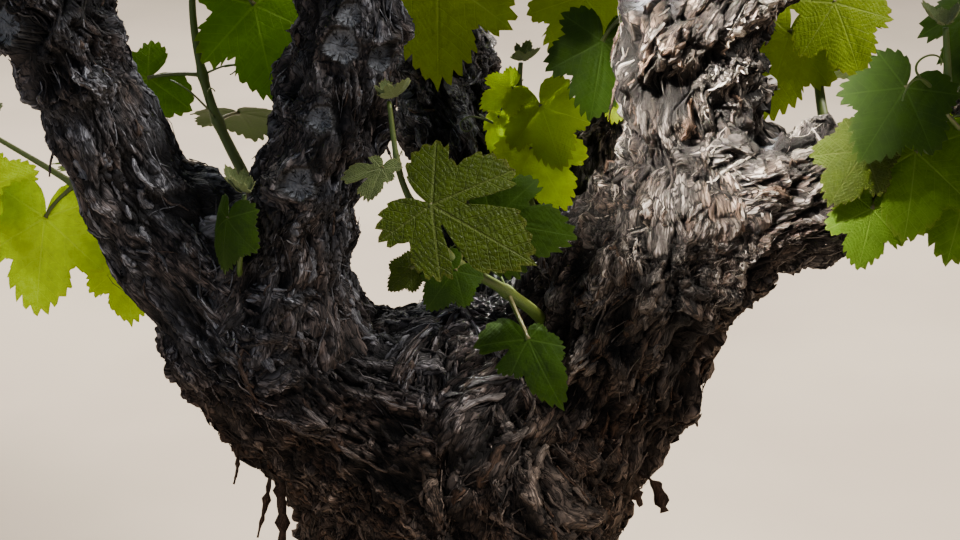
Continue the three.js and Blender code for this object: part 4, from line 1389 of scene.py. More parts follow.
    def build(self, surfaces: list[BarkSurface], effects: Effects) -> None:
        """Build the loose bark: a piece for each tone, dealt out by rank, and the hanging strips.

        Args:
            surfaces: the limbs' surfaces.
            effects: the shared node groups.
        """
        dice = np.random.default_rng(self.seed)
        laid = [self.strips(surface, dice) for surface in surfaces]
        grid, q, tone_shade_and_chance = (np.concatenate([rows[k] for rows in laid]) for k in range(3))
        rank = np.argsort(np.argsort(tone_shade_and_chance)) / len(tone_shade_and_chance)
        low = 0.0
        for finish, share in FLAKES:
            chosen = (rank >= low) & (rank < low + share)
            low += share
            skin = Skin()
            add_ribbons(skin, grid[chosen], q[chosen])
            skin.build(f"loose_{finish.name}", [finish.material(effects)], Slot.BARK)
        skin, hanging = Skin(), self.hanging(surfaces)
        add_ribbons(skin, hanging, hanging)
        skin.build("hanging_bark", [HANGING_BARK.material(effects)], Slot.BARK)


# Each long loose strip: its limb, how far along, the angle round it, its length, how far it stands
# out for its length, its half width, and how it turns.
HANGING = [
    ("trunk", 0.64, 200, 62, 0.3, 3.6, 1.1), ("trunk", 0.60, 188, 40, 0.42, 2.2, 2.0),
    ("trunk", 0.55, 214, 34, 0.36, 2.0, 0.8), ("trunk", 0.66, 345, 23, 0.95, 6, 1.7),
    ("trunk", 0.63, 355, 20, 0.8, 5, 2.4), ("trunk", 0.35, 30, 46, 0.25, 2.0, 1.3),
    ("trunk", 0.5, 90, 52, 0.3, 2.4, 1.0), ("trunk", 0.42, 140, 44, 0.3, 2.0, 1.9),
    ("upper_right_arm", 0.42, 178, 26, 0.3, 1.4, 1.2), ("upper_right_arm", 0.34, 186, 30, 0.24, 1.2, 2.2),
    ("right_limb", 0.5, 20, 24, 0.5, 1.8, 1.7), ("right_limb", 0.35, 12, 20, 0.6, 2.0, 0.9),
    ("left_limb", 0.5, 205, 20, 0.45, 1.4, 1.5), ("left_arm", 0.4, 195, 18, 0.4, 1.2, 1.1),
    ("centre_arm", 0.45, 15, 14, 0.5, 1.2, 1.6), ("back_left_arm", 0.5, 120, 26, 0.3, 1.6, 1.2),
    ("back_right_arm", 0.45, 40, 28, 0.3, 1.6, 1.7), ("lower_right_arm", 0.62, 300, 18, 0.4, 1.4, 1.2),
]


# Shoots and leaves


class Tint(Enum):
    """The tones of leaf."""

    # A paler copy of the leaf that carries painted sunlight, for sunlit, backlit leaves.
    SUNLIT_PAINTED = 0
    FRESH = 1
    DEEP = 2
    OLIVE = 3
    DOWNY = 4
    YOUNG = 5

BLADES = {
    # The first tone carries painted sunlight: a paler copy of the leaf for sunlit, backlit ones.
    Tint.SUNLIT_PAINTED: Blade("leaf_painted_sunlit", (0.40, 0.50, 0.008), (0.48, 0.57, 0.06), (0.44, 0.42, 0.02),
                       (0.80, 1.0, 0.01), 0.12, through=0.66, bump=0.4),
    Tint.FRESH: Blade("leaf_fresh", (0.085, 0.165, 0.006), (0.16, 0.26, 0.03), (0.15, 0.19, 0.02),
                      (0.34, 0.56, 0.01), 0.12, bump=0.35),
    Tint.DEEP: Blade("leaf_deep", (0.024, 0.055, 0.003), (0.045, 0.09, 0.01), (0.04, 0.07, 0.008),
                     (0.10, 0.22, 0.005), 0.06, 0.6, through=0.25, bump=0.15),
    Tint.OLIVE: Blade("leaf_olive", (0.150, 0.205, 0.007), (0.22, 0.28, 0.04), (0.20, 0.20, 0.02),
                      (0.80, 0.98, 0.012), 0.1, through=0.48, bump=0.35),
    Tint.DOWNY: Blade("leaf_downy", (0.085, 0.115, 0.035), (0.20, 0.24, 0.10), (0.18, 0.17, 0.06),
                      (0.20, 0.28, 0.05), 0.3, 0.7, 0.12, 0.2, 0.6),
    Tint.YOUNG: Blade("leaf_young", (0.040, 0.062, 0.002), (0.080, 0.105, 0.020), (0.072, 0.078, 0.008),
                      (0.12, 0.18, 0.004), 0.12, 0.46, 0.0, 0.2, 0.6, 0.14),
}

# The plain leaf's shape: how far its lobes reach, how near small leaves' sinuses come to the
# junction, and the waves of its edge, each with its height and how many go round.
LOBES = (0.6, 0.78, 1.0, 0.78, 0.6)
SMALL_SINUS = (0.56, 0.5)
EDGE_WAVES = ((1.0, 3), (0.7, 5), (0.5, 11))
# The length of the leaf that vein places are scaled to, and the angle of a sharp fold.
VEIN_LEAF, LEAF_CREASE = 60.0, 75.0
# How far the source's leaf folds, and its petiole's radius.
LEAF_FOLD, PETIOLE_RADIUS = 0.32, 1.2
COIL_POINTS = 40
TENDRIL_SEED, TIP_SEED, LATERAL_SEED = 7, 3, 19
# How far a leaf keeps from other masses' space and from limbs, and how far apart the middles of
# two leaves stay, as a share of both lengths.
SPACE_MARGIN, LIMB_MARGIN, LEAVES_APART = 0.6, 1.5, 0.34
# Where a leaf's middle lies along it, and the cosine from which a point is clearly behind it.
OUTLINE_MIDDLE, CLEARLY_BEHIND = 0.3, 0.35
# The source's plain rim: the angle from the middle lobe, and the reach as a share of the length.
RIM = np.array([(-124, 0.64), (-86, 0.52), (-56, 0.78), (-28, 0.6), (0, 1), (28, 0.6), (56, 0.78),
                (86, 0.52), (124, 0.64)])


@dataclass(frozen=True)
class Leaf:
    """A leaf: where its petiole joins it, the ways its middle lobe and upper face look, its length.

    "arch" and "bend" are how far it curves down along and across, in radians from its junction to
    a leaf's length away. "sinus" is how near its upper and lower sinuses come to the junction.
    """

    at: Array
    tip: Array
    face: Array
    length: float
    tint: Tint = Tint.FRESH
    arch: float = 0.3
    bend: float = 0.3
    sinus: tuple[float, ...] = (0.6, 0.52)
    lobes: tuple[float, ...] = LOBES
    wave: float = 0.02
    foot: Array | None = None

    def directions(self) -> tuple[Array, Array, Array]:
        """Return the leaf's forward, side and upward directions."""
        normal = unit(self.face)
        forward = unit(self.tip - normal * (self.tip @ normal))
        return forward, np.cross(normal, forward), normal

    def rim(self) -> Array:
        """Return the points of the plain rim that the source's leaf has, and the junction."""
        forward, side, normal = self.directions()
        angle, share = np.radians(RIM[:, 0]), RIM[:, 1]
        reach = (share * self.length)[:, None]
        flat = forward * np.cos(angle)[:, None] * reach + side * np.sin(angle)[:, None] * reach
        points = self.at + flat - normal * (LEAF_FOLD / 2 * self.length * share**2)[:, None]
        return np.vstack([points, self.at])

    def middle(self) -> Array:
        """Return the point that other leaves keep away from."""
        return self.at + unit(self.tip) * OUTLINE_MIDDLE * self.length


@dataclass(frozen=True)
class Crown:
    """A mass of foliage at an arm's tip.

    Its spurs part along the bearing "spread". Its shoots fan out about the bearing "away" and lean
    by "lean". Its own line, which its leaves keep near, runs up to "top".
    """

    arm: str
    seed: int
    spread: float
    away: float
    lean: float
    top: Point
    tints: tuple[Tint, ...]

    @property
    def name(self) -> str:
        """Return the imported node's name."""
        return self.arm.replace("arm", "foliage")


CROWNS = [
    Crown("left_arm", 11, 95, 195, 0.62, (-330, -85, 800), (Tint.SUNLIT_PAINTED, Tint.FRESH)),
    Crown("centre_arm", 23, 15, 262, 0.3, (-72, -90, 850), (Tint.FRESH, Tint.DEEP)),
    Crown("upper_right_arm", 37, 40, 300, 0.34, (200, -110, 840), (Tint.FRESH, Tint.OLIVE)),
    Crown("lower_right_arm", 41, 75, 350, 0.75, (400, -15, 620), (Tint.DEEP, Tint.FRESH)),
    Crown("back_right_arm", 53, 130, 45, 0.55, (235, 270, 800), (Tint.FRESH, Tint.SUNLIT_PAINTED)),
    Crown("back_left_arm", 67, 20, 110, 0.5, (-95, 280, 800), (Tint.SUNLIT_PAINTED, Tint.OLIVE)),
]
# The source's rule of growth. A bud is on the spur that turns its way, at a share of its length,
# and the last two rows are each internode's and leaf's length for the usual one, foot first.
STUB_LENGTH, STUB_RADIUS, STUB_TAPER, STUB_SUNK = 34.0, 11.0, 0.85, 12.0
SPUR_LENGTH, SPUR_RADIUS, SPUR_TAPER, SPUR_APART, SPUR_CLIMB = 44.0, 6.5, 0.8, 0.62, 0.3
BUDS = [(1, 0.5), (1, 0.92), (-1, 0.88)]
LOW_BUD = 0.7
SHOOT_RADIUS, SHOOT_TIP, SHOOT_NODES, INTERNODE = 3.4, 1.2, 7, 37.0
CLIMB, ZIGZAG, SHOOT_APART, FAN = 0.1, 0.14, 0.6, (30.0, 80.0)
LEAF_LENGTH, PETIOLE_LENGTH = 67.0, 46.0
INTERNODE_SHARE = [0.55, 0.9, 1.15, 1.25, 1.15, 0.85, 0.5]
LEAF_SHARE = [0.74, 0.96, 1.06, 1.0, 0.86, 0.64, 0.38]

# Water shoots on the old wood: the stem's points, its radius at both ends, and its leaves, each
# with its junction, the ways of its middle lobe and its upper face, its length, its tint, its arch
# and bend, its sinuses and its lobes, the last four where they differ from the plain leaf's.
B, F, D, O, W, Y = Tint.SUNLIT_PAINTED, Tint.FRESH, Tint.DEEP, Tint.OLIVE, Tint.DOWNY, Tint.YOUNG
WATER_SHOOTS = [
    ("young_shoot", [(50, -24, 370), (38, -46, 392), (20, -62, 412), (-2, -72, 430), (-17, -73, 452),
                     (-27, -69, 474), (-32, -57, 506)], (3.6, 1.1), [
        ((-11, -86, 463), (0.86, -0.1, -0.5), (-0.02, -0.86, 0.5), 56, Y, 0.25, 0.2, (0.3, 0.22, 0.42, 0.38),
         (0.57, 0.74, 1, 0.68, 0.54)),
        ((18, -66, 448), (0.9, 0.05, -0.2), (-0.15, -0.9, 0.3), 42, D, 0.35, 0.4, (0.42, 0.5, 0.5, 0.45),
         (0.5, 0.66, 1, 0.76, 0.6)),
        ((-35, -78, 479), (-0.36, -0.25, -0.88), (-0.1, -0.82, 0.5), 17, W, 0.3, 0.2, (0.4, 0.42, 0.4, 0.3),
         (0.65, 0.5, 1, 1.1, 0.4)),
        ((0, -78, 426), (-0.6, -0.3, -0.7), (-0.1, -0.8, 0.6), 24, D, 0.5, 0.6, (0.66, 0.6)),
        ((36, -82, 391), (0.45, -0.3, -0.84), (-0.28, -0.7, 0.66), 39, D, 0.9, 0.8, (0.5, 0.5, 0.28, 0.3),
         (0.3, 0.42, 1, 0.5, 0.8)),
        ((-22, -70, 424), (-0.7, -0.2, -0.6), (-0.2, -0.75, 0.6), 16, Y, 0.4, 0.4, (0.66, 0.6))]),
    ("crotch_leaf", [(-110, -34, 398), (-109, -51, 416), (-106, -57, 438), (-104, -57, 458)], (1.7, 1.1), [
        ((-112, -64, 448), (-0.2, -0.3, -0.93), (-0.66, -0.66, 0.35), 27, D, 0.4, 1.3, (0.74, 0.7))]),
    ("left_shoot", [(-122, 10, 366), (-146, 42, 376), (-178, 56, 396), (-216, 64, 422),
                    (-264, 72, 450)], (4, 1.3), [
        ((-187, 60, 376), (0.05, -0.2, -0.95), (0.1, -0.9, 0.4), 36, B, 0.4, 0.5),
        ((-230, 58, 403), (-0.1, -0.3, -0.95), (-0.1, -0.88, 0.45), 54, B, 0.3, 0.4, (0.58, 0.5)),
        ((-264, 74, 416), (0.7, -0.15, -0.45), (0.1, -0.82, 0.55), 38, B),
        ((-206, 104, 418), (0.2, 0.9, -0.4), (0.1, 0.4, 0.9), 44, F),
        ((-270, 88, 452), (-0.7, 0.3, 0.2), (-0.3, -0.4, 0.85), 26, Y)]),
    ("left_back_shoot", [(-96, 30, 378), (-114, 66, 412), (-138, 90, 456), (-148, 102, 502),
                         (-146, 106, 548)], (4.2, 1.5), [
        ((-113, 98, 514), (0.2, -0.25, -0.95), (0.05, -0.9, 0.42), 54, F, 0.3, 0.3, (0.62, 0.52)),
        ((-176, 104, 470), (-0.75, 0.1, -0.6), (-0.2, -0.75, 0.6), 46, F),
        ((-118, 92, 562), (0.75, -0.2, -0.45), (0.15, -0.8, 0.6), 44, B),
        ((-178, 120, 545), (-0.8, 0.35, -0.3), (-0.2, -0.4, 0.88), 46, F),
        ((-128, 122, 444), (0.1, 0.8, -0.5), (0, 0.5, 0.86), 44, D)]),
    ("back_shoot", [(60, 52, 376), (46, 56, 396), (37, 59, 420), (34, 60, 448), (33, 60, 473),
                    (34, 59, 492)], (3.8, 1.3), [
        ((45, 50, 470), (0.3, -0.15, -0.93), (0.05, -0.9, 0.42), 36, O, 0.3, 0.3, (0.6, 0.5)),
        ((40, 46, 447), (0.5, -0.2, -0.84), (0.1, -0.85, 0.5), 38, B, 0.4, 0.4, (0.56, 0.5)),
        ((29, 54, 479), (-0.8, -0.1, -0.5), (-0.1, -0.85, 0.5), 20, B),
        ((22, 62, 460), (-0.4, -0.2, -0.85), (-0.75, -0.55, 0.35), 20, B, 0.3, 0.6)]),
    ("inner_left_shoot", [(-50, -4, 548), (-38, 22, 560), (-26, 40, 574), (-18, 50, 592)], (3.6, 1.5), [
        ((-10, 38, 546), (0, -0.2, -0.97), (0.06, -0.92, 0.38), 58, O, 0.35, 0.3),
        ((4, 56, 600), (0.75, 0.1, -0.4), (0.2, -0.6, 0.75), 42, F),
        ((-40, 66, 604), (-0.6, 0.6, -0.3), (-0.1, 0.3, 0.94), 38, F)]),
    ("inner_right_shoot", [(112, 6, 496), (100, 34, 516), (84, 50, 536), (76, 58, 562)], (3.6, 1.5), [
        ((67, 54, 530), (-0.3, -0.15, -0.92), (-0.05, -0.92, 0.38), 40, O),
        ((77, 44, 508), (-0.15, -0.2, -0.95), (0.05, -0.92, 0.38), 42, D),
        ((88, 40, 486), (-0.25, -0.1, -0.95), (0.1, -0.9, 0.4), 22, B),
        ((60, 76, 572), (-0.6, 0.6, -0.3), (-0.2, 0.3, 0.92), 40, F)]),
    ("right_low_shoot", [(212, -10, 452), (228, -32, 464), (238, -42, 486), (240, -44, 512),
                         (238, -40, 538)], (4, 1.5), [
        ((218, -52, 511), (-0.5, -0.25, -0.8), (-0.05, -0.8, 0.6), 42, D, 0.35, 0.3, (0.66, 0.56)),
        ((202, -46, 477), (-0.55, -0.3, -0.78), (-0.1, -0.85, 0.5), 32, Y, 0.4, 0.6),
        ((228, -42, 475), (-0.1, -0.25, -0.96), (0.05, -0.9, 0.42), 45, F, 0.35, 0.3),
        ((208, -45, 446), (-0.2, -0.25, -0.95), (0, -0.9, 0.44), 31, F, 0.4, 0.3),
        ((260, -28, 466), (-0.22, -0.2, -0.95), (0.1, -0.9, 0.42), 54, F, 0.35, 0.35, (0.6, 0.5))]),
    ("right_back_shoot", [(196, 6, 456), (194, 34, 474), (192, 52, 502), (194, 60, 536)], (3.6, 1.5), [
        ((176, 46, 512), (-0.25, -0.15, -0.94), (-0.05, -0.92, 0.38), 48, O, 0.3, 0.3, (0.6, 0.5)),
        ((198, 40, 530), (0.35, -0.15, -0.9), (0.1, -0.92, 0.38), 42, O),
        ((182, 72, 552), (-0.5, 0.5, -0.5), (-0.2, 0.4, 0.9), 44, B),
        ((216, 70, 484), (0.6, 0.5, -0.6), (0.3, 0.3, 0.9), 40, F)]),
]

PLACED = tuple(row[0] for row in WATER_SHOOTS)
TIPS = {limb.name: np.array(limb.through[-2:], float) for limb in LIMBS}
LINES = {crown.name: (TIPS[crown.arm][1], np.array(crown.top, float)) for crown in CROWNS}
LINES |= {name: (np.array(stem[0], float), np.array(stem[-1], float)) for name, stem, _, _ in WATER_SHOOTS}


def in_space_of(name: str, points: Array) -> bool:
    """Return whether points lie nearer to a mass's own line than to any other's, by a margin."""
    away = {}
    for key, (start, end) in LINES.items():
        way = end - start
        t = np.clip(((points - start) @ way) / (way @ way), 0, 1)
        away[key] = np.linalg.norm(points - start - t[..., None] * way, axis=-1)
    own = away.pop(name)
    return bool((own + SPACE_MARGIN < np.min(list(away.values()), axis=0)).all())


def leaf_fits(name: str, leaf: Leaf, others: list[Leaf]) -> bool:
    """Return whether a whole leaf keeps to its mass's space, off the limbs and the other leaves."""
    rim = leaf.rim()
    if not in_space_of(name, rim) or beyond_limbs(rim, swell=1.06).min() <= LIMB_MARGIN:
        return False
    middle = leaf.middle()
    return all(np.linalg.norm(middle - other.middle()) > LEAVES_APART * (leaf.length + other.length)
               for other in others)


@dataclass
class GrownShoot:
    """A green shoot: its mass, its stem's nodes, its radius at both ends, and what it bears."""

    mass: str
    stem: Array
    radius: tuple[float, float]
    leaves: list[Leaf]
    joints: Array
    tendrils: bool = True


@dataclass
class Foliage:
    """The spurs, shoots, leaves and tendrils, grown from the wood by the source's rule."""

    shoots: list[GrownShoot] = field(default_factory=list)
    wood: list[Limb] = field(default_factory=list)

    def grow_shoot(self, mass: str, root: Array, heading: Array, dice: Dice, others: list[Leaf],
                   tints: tuple[Tint, ...]) -> GrownShoot:
        """Grow one shoot by the source's rule.

        It zigzags and bends upwards, with a leaf at each node, left and right in turn. A leaf that
        doesn't fit is turned on its node, then tried smaller, and then left out.

        Args:
            mass: the mass whose space it keeps to.
            root: where it starts.
            heading: which way it starts.
            dice: the mass's row of numbers.
            others: the leaves that the mass has already; new ones are added.
            tints: the tones of its full-grown and its other leaves.

        Returns:
            The shoot.
        """
        stem, leaves = [root], []
        way = unit(heading)
        flat = math.degrees(dice.between(0, math.pi))
        vigour = dice.between(0.85, 1.12)
        for node in range(SHOOT_NODES):
            left = 1 if node % 2 else -1
            way = unit(way + UP * CLIMB - bearing(flat + 90 - 90 * left) * ZIGZAG)
            following = stem[-1] + way * INTERNODE * INTERNODE_SHARE[node] * vigour
            if not in_space_of(mass, following[None]):
                break
            stem.append(following)
            share = LEAF_SHARE[node] * vigour * dice.between(0.88, 1.1)
            swing, droop, roll = dice.between(-35, 35), dice.between(0.2, 0.95), dice.between(-0.3, 0.3)
            for turn in (0, 50, -50, 100, -100):
                out = bearing(flat + 90 - 90 * left + swing + turn)
                length = LEAF_LENGTH * share * (0.82 if abs(turn) > 60 else 1.0)
                at = following + unit(way * 0.6 + out) * PETIOLE_LENGTH * (0.35 + 0.65 * share)
                face = unit(UP + out * droop + np.cross(UP, out) * roll)
                tint = Tint.OLIVE if node > 4 else tints[(node + int(10 * swing)) % len(tints)]
                sinus = (0.5 + 0.004 * abs(swing), 0.46 + 0.1 * droop)
                leaf = Leaf(at, unit(out - UP * droop), face, length, tint, 0.2 + 0.3 * droop,
                            0.1 + 0.012 * abs(swing), sinus, wave=0.014 + 0.04 * abs(roll), foot=following)
                if leaf_fits(mass, leaf, others):
                    leaves.append(leaf)
                    others.append(leaf)
                    break
        return GrownShoot(mass, np.array(stem), (SHOOT_RADIUS, SHOOT_TIP), leaves, np.array(stem[1:]))

    def grow_crown(self, crown: Crown) -> None:
        """Grow a mass: the stub on its arm's tip, two pruned spurs and their three shoots."""
        dice = Dice(crown.seed)
        placed: list[Leaf] = []
        below, tip = TIPS[crown.arm]
        onward = unit(tip - below)
        foot = tip + onward * (STUB_LENGTH - SPUR_RADIUS)
        self.add_wood(crown.name, [tip - onward * STUB_SUNK, tip + onward * STUB_LENGTH * 0.4,
                                   tip + onward * STUB_LENGTH],
                      [STUB_RADIUS + 2, STUB_RADIUS, STUB_RADIUS * STUB_TAPER],
                      [Burl(0.8, 40, 2.5, 9), Burl(0.45, 200, 2, 8)], crown.seed, (1.15, 0.45, 0.6))
        for turn in (1, -1):
            way = self.spur_way(onward, crown, turn)
            buds = [Burl(share * 0.94, 90 * turn + 60, 2.2, 5) for side, share in BUDS if side == turn]
            self.add_wood(crown.name, [foot - way * 3, foot + way * SPUR_LENGTH * 0.5,
                                       foot + way * SPUR_LENGTH * 1.06],
                          [SPUR_RADIUS + 0.8, SPUR_RADIUS * 0.9, SPUR_RADIUS * SPUR_TAPER], buds,
                          crown.seed + 2 + turn, (1.0, 0.32, 0.3))
        for turn, share in BUDS:
            outwards = crown.lean + SHOOT_APART if share < LOW_BUD else crown.lean
            side = bearing(crown.away + turn * dice.between(*FAN)) * outwards
            way = self.spur_way(onward, crown, turn)
            root = foot + way * SPUR_LENGTH * share
            shoot = self.grow_shoot(crown.name, root, UP + way * 0.5 + side, dice, placed, crown.tints)
            if len(shoot.stem) > 1:
                self.shoots.append(shoot)

    def add_wood(self, name: str, through: list[Array], radius: list[float], burls: list[Burl],
                 place: int, bark: tuple[float, float, float]) -> None:
        """Add a stub or spur: its mass, axis, radii, burls and number, its bark's cell, size and knobs."""
        self.wood.append(Limb(name, [tuple(p) for p in through], radius, burls, [], place, *bark))

    @staticmethod
    def spur_way(onward: Array, crown: Crown, turn: int) -> Array:
        """Return the way a spur leans: onward, apart across the spread, and up."""
        return unit(onward + bearing(crown.spread) * SPUR_APART * turn + UP * SPUR_CLIMB)

    def grow_water_shoots(self) -> None:
        """Grow the shoots on the old wood from their placed stems and leaves."""
        for name, stem, radius, rows in WATER_SHOOTS:
            path = curve(np.array(stem, float), np.linspace(0, 1, 3 * len(stem) + 1))
            leaves = []
            for at, tip, face, *rest in rows:
                leaf = Leaf(np.array(at, float), np.array(tip, float), np.array(face, float), *rest)
                leaves.append(replace(leaf, foot=self.foot_behind(path, leaf)))
            feet = np.array([leaf.foot for leaf in leaves])
            self.shoots.append(GrownShoot(name, path, radius, leaves, feet, name != "crotch_leaf"))

    @staticmethod
    def foot_behind(path: Array, leaf: Leaf) -> Array:
        """Return the nearest point of the stem clearly behind the leaf, or the one most behind it."""
        forward = leaf.directions()[0]
        behind = -(unit(path[1:] - leaf.at) @ forward)
        clear = path[1:][behind > CLEARLY_BEHIND]
        if len(clear) == 0:
            return path[1:][np.argmax(behind)]
        return clear[np.argmin(np.linalg.norm(clear - leaf.at, axis=1))]

    def stems(self) -> Skin:
        """Return the green stems and petioles.

        A stem is a tube on a curve through its nodes, a third thicker at each of them. A petiole
        is a tube on a curve of second degree that leaves the stem upwards and meets the leaf from
        behind, thicker at both ends.
        """
        skin = Skin()
        for shoot in self.shoots:
            length = np.linalg.norm(np.diff(shoot.stem, axis=0), axis=1).sum()
            t = np.linspace(0, 1, max(12, int(length / 3.2)))
            path = curve(shoot.stem, t)
            radius = shoot.radius[0] + (shoot.radius[1] - shoot.radius[0]) * t
            near = np.linalg.norm(path[:, None] - shoot.joints[None], axis=2).min(1)
            radius = radius * (1 + 0.32 * np.exp(-((near / 3.6) ** 2))) * (1 + 0.5 * np.exp(-t * length / 5))
            self.add_stem(skin, path, radius, 10)
            for leaf in shoot.leaves:
                forward, _, normal = leaf.directions()
                reach = float(np.linalg.norm(leaf.at - leaf.foot))
                w = np.linspace(0, 1, 11)
                knee = leaf.at - forward * 0.42 * reach - normal * 0.06 * reach
                knee = 0.55 * knee + 0.45 * (leaf.foot + leaf.at) / 2
                path = np.outer((1 - w) ** 2, leaf.foot) + np.outer(2 * w * (1 - w), knee)
                path += np.outer(w**2, leaf.at - normal * 0.3)
                thin = 0.72 + 0.28 * min(1.0, leaf.length / 50)
                radius = PETIOLE_RADIUS * thin * (1 + 0.6 * np.exp(-w * 9) + 0.35 * np.exp(-(1 - w) * 12))
                self.add_stem(skin, path, radius, 8, 0.75)
        return skin

    @staticmethod
    def add_stem(skin: Skin, path: Array, radius: Array, sides: int, flush: float = 0.35) -> None:
        """Add a closed green tube, flushed with red on its upper, sunny side.

        A point is the path's point, plus the radius times a direction square to the path at the
        point's angle, and a pole closes each end.

        Args:
            skin: the skin that is being put together.
            path: the tube's middle line.
            radius: its radius at each of the line's points.
            sides: how many sides its section has.
            flush: how red it is.
        """
        angle = turns(sides)
        out = round_about(unit(np.gradient(path, axis=0)), angle)
        rings = path[:, None] + out * radius[:, None, None]
        points = np.vstack([rings.reshape(-1, 3), path[:1], path[-1:]])
        run = np.concatenate([[0], np.cumsum(np.linalg.norm(np.diff(path, axis=0), axis=1))])
        flat = np.zeros((len(path), sides))
        q = np.stack([3 * np.cos(angle) + flat, 3 * np.sin(angle) + flat, run[:, None] + flat], -1)
        q = q.reshape(-1, 3)
        red = np.clip(flush * (0.4 + 0.9 * out[..., 2] + 0.5 * out[..., 0]), 0, 1).ravel()
        skin.add(points, *tube_faces(len(path), sides), grain=np.vstack([q, q[:1], q[-1:]]),
                 flush=np.concatenate([red, red[:1], red[-1:]]))

    def tendrils(self) -> Skin:
        """Return the tendrils, opposite two leaves of every three, with a quarter of them left out.

        A tendril rises outwards, forks, and each arm ends in a coil whose turns tighten: the path
        is the integral of a direction that turns in its own plane by a growing angle.
        """
        skin = Skin()
        dice = np.random.default_rng(TENDRIL_SEED)
        for shoot in self.shoots:
            if not shoot.tendrils:
                continue
            for k, joint in enumerate(shoot.joints):
                if k % 3 == 0 or dice.random() < 0.25:
                    continue
                leaf = min(shoot.leaves, key=lambda l: np.linalg.norm(l.foot - joint), default=None)
                if leaf is None:
                    continue
                away = unit((joint - leaf.at) * (1, 1, 0.2) + UP * 18 + dice.normal(0, 6, 3))
                scale = min(1.0, leaf.length / 55)
                start, way = joint, away
                for fork in range(2 if scale > 0.6 else 1):
                    long = (34 + 30 * dice.random()) * scale
                    turn = dice.choice([-1, 1]) * (2.2 + 5 * dice.random())
                    path = self.coil(start, unit(way + dice.normal(0, 0.3, 3) * fork), long, turn, dice)
                    if not in_space_of(shoot.mass, path[::4]) or beyond_limbs(path[::3]).min() < 1:
                        continue
                    t = np.linspace(0, 1, len(path))
                    self.add_stem(skin, path, 0.75 * scale * (1 - 0.6 * t) + 0.12, 5, 0.3)
                    third = len(path) // 3
                    start, way = path[third], unit(path[third + 1] - path[third])
        return skin

    @staticmethod
    def coil(start: Array, way: Array, long: float, turn: float, dice: np.random.Generator) -> Array:
        """Return a tendril's path, straight at first and then coiling as the cube of the distance."""
        across = unit(np.cross(way, dice.normal(0, 1, 3)))
        t = np.linspace(0, 1, COIL_POINTS)
        angle = turn * t**3
        lean = np.cross(way, across)
        step = way * np.cos(angle)[:, None] + across * np.sin(angle)[:, None] + lean * (0.3 * t)[:, None]
        return start + np.cumsum(step, axis=0) * long / COIL_POINTS

    def tips(self) -> list[Leaf]:
        """Return the unfolding leaflets round each shoot's tip."""
        found = []
        dice = np.random.default_rng(TIP_SEED)
        for shoot in self.shoots:
            end, way = shoot.stem[-1], unit(shoot.stem[-1] - shoot.stem[-2])
            for k in range(3):
                out = unit(bearing(dice.random() * 360) + way * (0.8 + 0.5 * k))
                face = unit(np.cross(out, np.cross(way, out)) + 0.3 * way)
                found.append(Leaf(end + out * (5 - k), out, face, 13 - 3 * k, Tint.DOWNY, -0.5, -1.4,
                                  SMALL_SINUS, wave=0.03, foot=end - way))
        return found

    def laterals(self) -> list[Leaf]:
        """Return small leaves on short side shoots at the crown's nodes, in the mass's own space."""
        found = []
        dice = np.random.default_rng(LATERAL_SEED)
        for shoot in self.shoots:
            if shoot.mass in PLACED:
                continue
            family = [other for other in self.shoots if other.mass == shoot.mass]
            others = [leaf for other in family for leaf in other.leaves] + found
            for joint in shoot.joints[1:]:
                for _ in range(3):
                    out = bearing(dice.random() * 360)
                    length = 22 + 18 * dice.random()
                    at = joint + unit(out + UP * (0.2 + dice.random())) * (14 + 16 * dice.random())
                    droop = 0.2 + 0.6 * dice.random()
                    tint = dice.choice([Tint.OLIVE, Tint.FRESH, Tint.SUNLIT_PAINTED])
                    leaf = Leaf(at, unit(out - UP * droop), unit(UP + out * droop), length, tint, 0.4,
                                0.4 * dice.random(), SMALL_SINUS, foot=joint)
                    if leaf_fits(shoot.mass, leaf, others):
                        found.append(leaf)
                        others.append(leaf)
                        break
        return found


